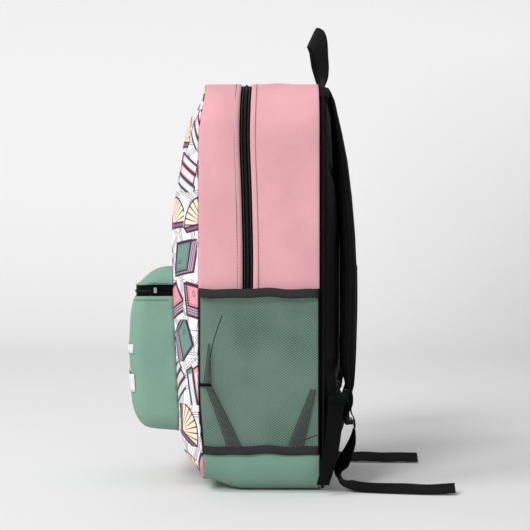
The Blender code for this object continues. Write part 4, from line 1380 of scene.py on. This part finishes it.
def make_back_panel():
    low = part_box("back_panel")[0][1]
    middle_z = (BACK_LOW_Z + BACK_TOP_Z) / 2
    rings = [[Vector((x, low, z)) for x, z in back_outline()]]
    inner = [(i / 10, 0.001) for i in range(9, 0, -1)]
    for share, drop in ((1.0, 0.0055), (0.985, 0.0025), (0.955, 0.001), *inner):
        ring = [(x * share, middle_z + (z - middle_z) * share) for x, z in back_outline()]
        rings.append([Vector((x, back_depth(x, z) - drop, z)) for x, z in ring])
    made = voxel_body("back_panel_padding", rings, voxel=0.0055)
    inflate(made, most=0.0025, frames=18, pinned=lambda p: p.y < low + 0.004)

    def channels(p):
        if p.y < low + 0.006:
            return Vector((0, 0, 0))
        across = min(abs(p.x - QUILT_X), abs(p.x + QUILT_X))
        depth = hump(across, 0, QUILT_WIDTH)
        for z in QUILT_Z:
            if abs(p.x) > QUILT_X:
                depth = max(depth, hump(p.z, z + (abs(p.x) - QUILT_X) * 0.28, QUILT_WIDTH))
        return Vector((0, -QUILT_DEPTH * depth + 0.0005 * wrinkle(p, 0.05, 41.0), 0))

    finish_pad(made, AIR_MESH, "bag", ["back_panel"], channels)
    edge = [Vector((x, low + 0.0006, z)) for x, z in back_outline(-0.0006)]
    bm = bmesh.new()
    add_tube(bm, spline([*edge, edge[0]], 0.005), 0.0015, 8)
    piece("back_piping", bm, TAPE, "bag", slot="binding")


def make_yoke():
    """The band that slopes down from the top seam to the straps."""
    low_y, high_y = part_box("strap_yoke")[0][1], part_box("strap_yoke")[1][1]
    low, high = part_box("strap_yoke")[0][2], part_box("strap_yoke")[1][2]
    rings = []
    for y, top in (
        (low_y, high), (low_y + 0.004, high + 0.0004), (low_y + 0.0075, high - 0.0012),
        (low_y + 0.0100, high - 0.0036), (high_y - 0.0012, high - 0.0076), (high_y, high - 0.0110),
    ):
        heights = steps(low, top, (top - low) / 6)
        right = [(half_width(z, 0.0006) - (y - BACK_Y) * 0.35, z) for z in heights]
        rings.append([Vector((x, y, z)) for x, z in [*right, *[(-x, z) for x, z in reversed(right)]]])
    made = voxel_body("yoke_fabric", rings, voxel=0.0026)
    finish_pad(made, YOKE, "bag", ["strap_yoke"],
               lambda p: Vector((0, 1, 1)) * 0.0006 * wrinkle(p, 0.03, 51.0))


# z, y of the outer face, thickness, x of the middle, width: the strap pad's sections from the yoke down.
PAD_SECTIONS = [
    (0.4545, 0.0792, 0.0030, 0.055, 0.054), (0.4490, 0.0830, 0.0044, 0.0555, 0.058),
    (0.4420, 0.0862, 0.0062, 0.056, 0.060), (0.4300, 0.0886, 0.0082, 0.058, 0.064),
    (0.4010, 0.0948, 0.0118, 0.063, 0.067), (0.3700, 0.1004, 0.0136, 0.069, 0.067),
    (0.3300, 0.1048, 0.0135, 0.076, 0.066), (0.2880, 0.1080, 0.0136, 0.083, 0.065),
    (0.2460, 0.1096, 0.0140, 0.089, 0.063), (0.2050, 0.1092, 0.0148, 0.094, 0.058),
    (0.1700, 0.1086, 0.0160, 0.097, 0.050), (0.1400, 0.1075, 0.0158, 0.099, 0.042),
    (0.1185, 0.1057, 0.0096, 0.100, 0.032), (0.1080, 0.1037, 0.0060, 0.100, 0.027),
]


def pad_at(z):
    """Outer y, thickness, middle x and width of the pad at height z."""
    for high, low in zip(PAD_SECTIONS, PAD_SECTIONS[1:]):
        if low[0] <= z <= high[0]:
            t = (high[0] - z) / (high[0] - low[0])
            return [a + (b - a) * t for a, b in zip(high[1:], low[1:])]
    return PAD_SECTIONS[-1][1:] if z < PAD_SECTIONS[-1][0] else PAD_SECTIONS[0][1:]


def make_strap(side, tag, word):
    rings = []
    for z, outer, thick, middle, width in PAD_SECTIONS:
        half, centre = width / 2 - 0.0008, outer - thick / 2
        ring = []
        for k in range(24):
            a = 2 * pi * k / 24
            c, s = cos(a), sin(a)
            x = half * abs(c) ** 0.45 * (1 if c > 0 else -1)
            y = thick / 2 * abs(s) ** 0.6 * (1 if s > 0 else -1)
            ring.append(Vector((side * middle + x, centre + y, z)))
        rings.append(ring)
    made = voxel_body(f"strap_padding_{word}", rings, voxel=0.0036)
    inflate(made, most=0.0012, frames=12)

    def channels(p):
        outer, thick, middle, width = pad_at(p.z)
        centre = outer - thick / 2
        sink = 0.0012 * hump(abs(p.x - side * middle), width / 2 - 0.0085, 0.0026)
        return Vector((0, -sink if p.y > centre else sink, 0))

    finish_pad(made, AIR_MESH, None, [f"strap_pad_{tag}"], channels)
    bm = bmesh.new()
    for edge in (-1, 1):
        run = [Vector((side * m + edge * (w / 2 - 0.0006), y - t / 2, z)) for z, y, t, m, w in PAD_SECTIONS]
        if edge > 0:
            run.append(Vector((side * PAD_SECTIONS[-1][3], run[-1].y, PAD_SECTIONS[-1][0] - 0.0012)))
        add_tube(bm, spline(run, 0.004), 0.0019, 8)
    binding = piece(f"strap_binding_{word}", bm, TAPE, None, slot="binding")
    for part in (made, binding):
        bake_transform(part)


# ---------------------------------------------------------------- webbing
WEBBING_HALF, WEBBING_THICK = 0.0124, 0.0013
# The webbing's routes, as in the frame: x, y, z of the middle, then the width's direction.
SEWN_RUN = [
    (0.0885, 0.1110, 0.2500, 1, 0, 0), (0.0940, 0.1107, 0.2050, 1, 0, 0), (0.0970, 0.1096, 0.1700, 1, 0, 0),
    (0.0990, 0.1083, 0.1400, 1, 0, 0), (0.1000, 0.1066, 0.1180, 1, 0, 0), (0.1000, 0.1046, 0.1090, 1, 0, 0),
    (0.1000, 0.1036, 0.1020, 1, 0, 0), (0.1000, 0.1025, 0.0972, 1, 0, 0), (0.1000, 0.0990, 0.0952, 1, 0, 0),
    (0.1000, 0.0955, 0.0972, 1, 0, 0), (0.1000, 0.0946, 0.1030, 1, 0, 0), (0.1000, 0.0962, 0.1100, 1, 0, 0),
    (0.1000, 0.0985, 0.1170, 1, 0, 0),
]
ADJUSTER_RUN = [
    (0.1585, 0.0700, 0.0110, -0.80, 0.60, 0), (0.1585, 0.0780, 0.0400, -0.75, 0.66, 0),
    (0.1580, 0.0815, 0.0650, -0.70, 0.70, 0), (0.1565, 0.0838, 0.0880, -0.70, 0.70, 0.05),
    (0.1540, 0.0852, 0.1010, -0.66, 0.70, 0.2), (0.1475, 0.0878, 0.1090, -0.25, 0.80, 0.4),
    (0.1385, 0.0915, 0.1075, 0.35, 0.78, 0.4), (0.1300, 0.0927, 0.0990, 0.70, 0.60, 0.4),
    (0.1220, 0.0908, 0.0900, 0.90, 0.30, 0.3), (0.1130, 0.0896, 0.0820, 1, 0.05, 0.2),
    (0.1030, 0.0899, 0.0740, 1, 0, 0.1),
]
# Through the lock: behind it, over its middle bar and down past its lip.
LOCK_RUN = [
    (0.1000, 0.0940, 0.0780, 1, 0, 0), (0.1000, 0.0943, 0.0850, 1, 0, 0), (0.1000, 0.0947, 0.0900, 1, 0, 0),
    (0.1000, 0.0962, 0.0926, 1, 0, 0), (0.1000, 0.0990, 0.0934, 1, 0, 0), (0.1000, 0.1018, 0.0926, 1, 0, 0),
    (0.1000, 0.1033, 0.0902, 1, 0, 0), (0.1000, 0.1040, 0.0870, 1, 0, 0), (0.1000, 0.1050, 0.0830, 1, 0, 0),
    (0.1000, 0.1076, 0.0775, 1, 0, 0), (0.1000, 0.1082, 0.0720, 1, 0, 0), (0.1000, 0.1081, 0.0680, 1, 0, 0),
]
# The free end: from below the lock down to the floor and back along it.
TAIL_DROP = [
    (0.1002, 0.1079, 0.0665, 1, 0, 0), (0.1006, 0.1070, 0.0600, 1, 0.1, 0),
    (0.1030, 0.1040, 0.0490, 0.95, 0.3, 0), (0.1075, 0.0985, 0.0370, 0.88, 0.45, 0),
    (0.1130, 0.0930, 0.0260, 0.86, 0.45, -0.2), (0.1180, 0.0915, 0.0165, 0.9, 0.2, -0.3),
]
TAIL_ON_FLOOR = {
    1: [(0.1235, 0.0965, 0.0095, 0.95, 0, -0.3), (0.1285, 0.1080, 0.0056, 0.95, 0, -0.28),
        (0.1325, 0.1210, 0.0046, 0.96, 0, -0.26), (0.1370, 0.1370, 0.0046, 0.96, 0, -0.26),
        (0.1430, 0.1620, 0.0050, 0.96, 0, -0.28), (0.1470, 0.1880, 0.0046, 0.96, 0, -0.26),
        (0.1500, 0.2160, 0.0066, 0.96, 0, -0.28)],
    -1: [(0.1190, 0.0965, 0.0095, 0.95, 0, 0.3), (0.1190, 0.1070, 0.0060, 0.94, 0, 0.34),
         (0.1185, 0.1190, 0.0058, 0.94, 0, 0.34), (0.1170, 0.1340, 0.0064, 0.94, 0, 0.34),
         (0.1150, 0.1560, 0.0056, 0.94, 0, 0.34), (0.1130, 0.1790, 0.0060, 0.94, 0, 0.34),
         (0.1120, 0.2020, 0.0056, 0.94, 0, 0.34)],
}


def add_webbing(bm, centres, widths, half=WEBBING_HALF, thick=WEBBING_THICK):
    """Flat webbing with rounded edges along a route."""
    layer = cloth_layer(bm)
    along = lengths(centres)
    section = [(-1, 0), (-0.965, -0.42), (-0.6, -0.5), (0, -0.5), (0.6, -0.5), (0.965, -0.42),
               (1, 0), (0.965, 0.42), (0.6, 0.5), (0, 0.5), (-0.6, 0.5), (-0.965, 0.42)]
    rings, across = [], None
    for i, centre in enumerate(centres):
        ahead = (centres[min(i + 1, len(centres) - 1)] - centres[max(i - 1, 0)]).normalized()
        wanted = widths[i] - ahead * widths[i].dot(ahead)
        if wanted.length > 0.05:
            across = wanted.normalized()
        out = ahead.cross(across).normalized()
        ring = []
        for u, v in section:
            vert = bm.verts.new(centre + across * half * u + out * thick * v)
            vert[layer] = (half * u, along[i], 0)
            ring.append(vert)
        rings.append(ring)
    for near, far in zip(rings, rings[1:]):
        for k in range(len(section)):
            m = (k + 1) % len(section)
            bm.faces.new((near[k], near[m], far[m], far[k]))
    bm.faces.new(list(reversed(rings[0])))
    bm.faces.new(rings[-1])


def webbing_route(side, stops, size=0.003):
    centres = spline([(side * x, y, z) for x, y, z, *_ in stops], size)
    knots = [Vector((side * x, y, z)) for x, y, z, *_ in stops]
    directions = [Vector((side * u, v, w)).normalized() for *_, u, v, w in stops]
    widths, k = [], 0
    for centre in centres:
        while k < len(knots) - 2 and (centre - knots[k]).length > (knots[k + 1] - knots[k]).length:
            k += 1
        t = min((centre - knots[k]).length / (knots[k + 1] - knots[k]).length, 1)
        widths.append(directions[k].lerp(directions[k + 1], t))
    return centres, widths


def webbing_piece(name, side, stops, body, replaces, size=0.003, held="stretched", **settings):
    bm = bmesh.new()
    centres, widths = webbing_route(side, stops, size)
    add_webbing(bm, centres, widths, **settings)
    bmesh.ops.recalc_face_normals(bm, faces=bm.faces)
    made = piece(name, bm, WEBBING, body, replaces=replaces, slot="webbing")
    made.data.set_sharp_from_angle(angle=radians(50))
    2 * settings.get("half", WEBBING_HALF)
    lengths(centres)[-1]
    return made


def make_webbing(side, tag, word):
    strap = f"strap_{word}"
    webbing_piece(f"sewn_webbing_{word}", side, SEWN_RUN, strap, [f"strap_webbing_{tag}"], 0.002)
    webbing_piece(f"lock_loop_{word}", side, LOCK_RUN, f"lock_{word}", [f"lock_webbing_{tag}"], 0.0015)
    adjuster = webbing_piece(f"lower_webbing_{word}", side, ADJUSTER_RUN, None, [f"adjuster_webbing_{tag}"])
    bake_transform(adjuster)
    stops = [*TAIL_DROP, *TAIL_ON_FLOOR[side]]
    tail = webbing_piece(f"webbing_tail_{word}", side, stops, None, [f"webbing_tail_{tag}"], held="laid")
    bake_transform(tail)


# ---------------------------------------------------------------- carry handle
# The +X half of the handle: x, y, z, then the width's direction.
HANDLE_RUN = [
    (0.0450, 0.0735, 0.4565, 1, 0, 0), (0.0462, 0.0752, 0.4690, 0.95, 0.30, 0),
    (0.0470, 0.0745, 0.4810, 0.86, 0.50, 0), (0.0455, 0.0722, 0.4960, 0.74, 0.62, 0.1),
    (0.0400, 0.0708, 0.5100, 0.55, 0.66, 0.4), (0.0300, 0.0688, 0.5190, 0.32, 0.60, 0.65),
    (0.0160, 0.0650, 0.5240, 0.12, 0.48, 0.84), (0.0000, 0.0630, 0.5252, 0, 0.42, 0.9),
]


def make_handle():
    """Webbing sewn in flat at its feet, which twists until the grip leans forwards."""
    far = [(-x, y, z, -u, v, w) for x, y, z, u, v, w in reversed(HANDLE_RUN[:-1])]
    webbing_piece("handle_webbing", 1, [*HANDLE_RUN, *far], "handle", ["carry_handle"], 0.0025, half=0.0124,
                  thick=0.0021)


def dress_frame():
    """Materials for the frame's own nodes that stay."""
    looks = {
        METAL: ("zip_slider_r", "zip_slider_l", "zip_pull_r", "zip_pull_l", "pocket_slider", "pocket_pull",
                "pocket_zip_stop_r", "pocket_zip_stop_l"),
        PLASTIC: ("ladder_lock_r", "ladder_lock_l"),
        LINING: ("back_lining", "laptop_sleeve"),
        FOAM: ("base_pad",),
        YOKE: ("back_stiffener", "anchor_tab_r", "anchor_tab_l"),
        BINDING: ("sleeve_binding",),
    }
    for material, nodes in looks.items():
        for node in nodes:
            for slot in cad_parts[node].material_slots:
                slot.material = material


add_camera()
add_studio()
make_gussets()
make_front_panel()
make_main_zip()
make_main_stitching()
make_pocket()
make_motif()
make_side_pockets()
make_back_panel()
make_yoke()
for strap_side in SIDES:
    make_strap(*strap_side)
    make_webbing(*strap_side)
make_handle()
dress_frame()
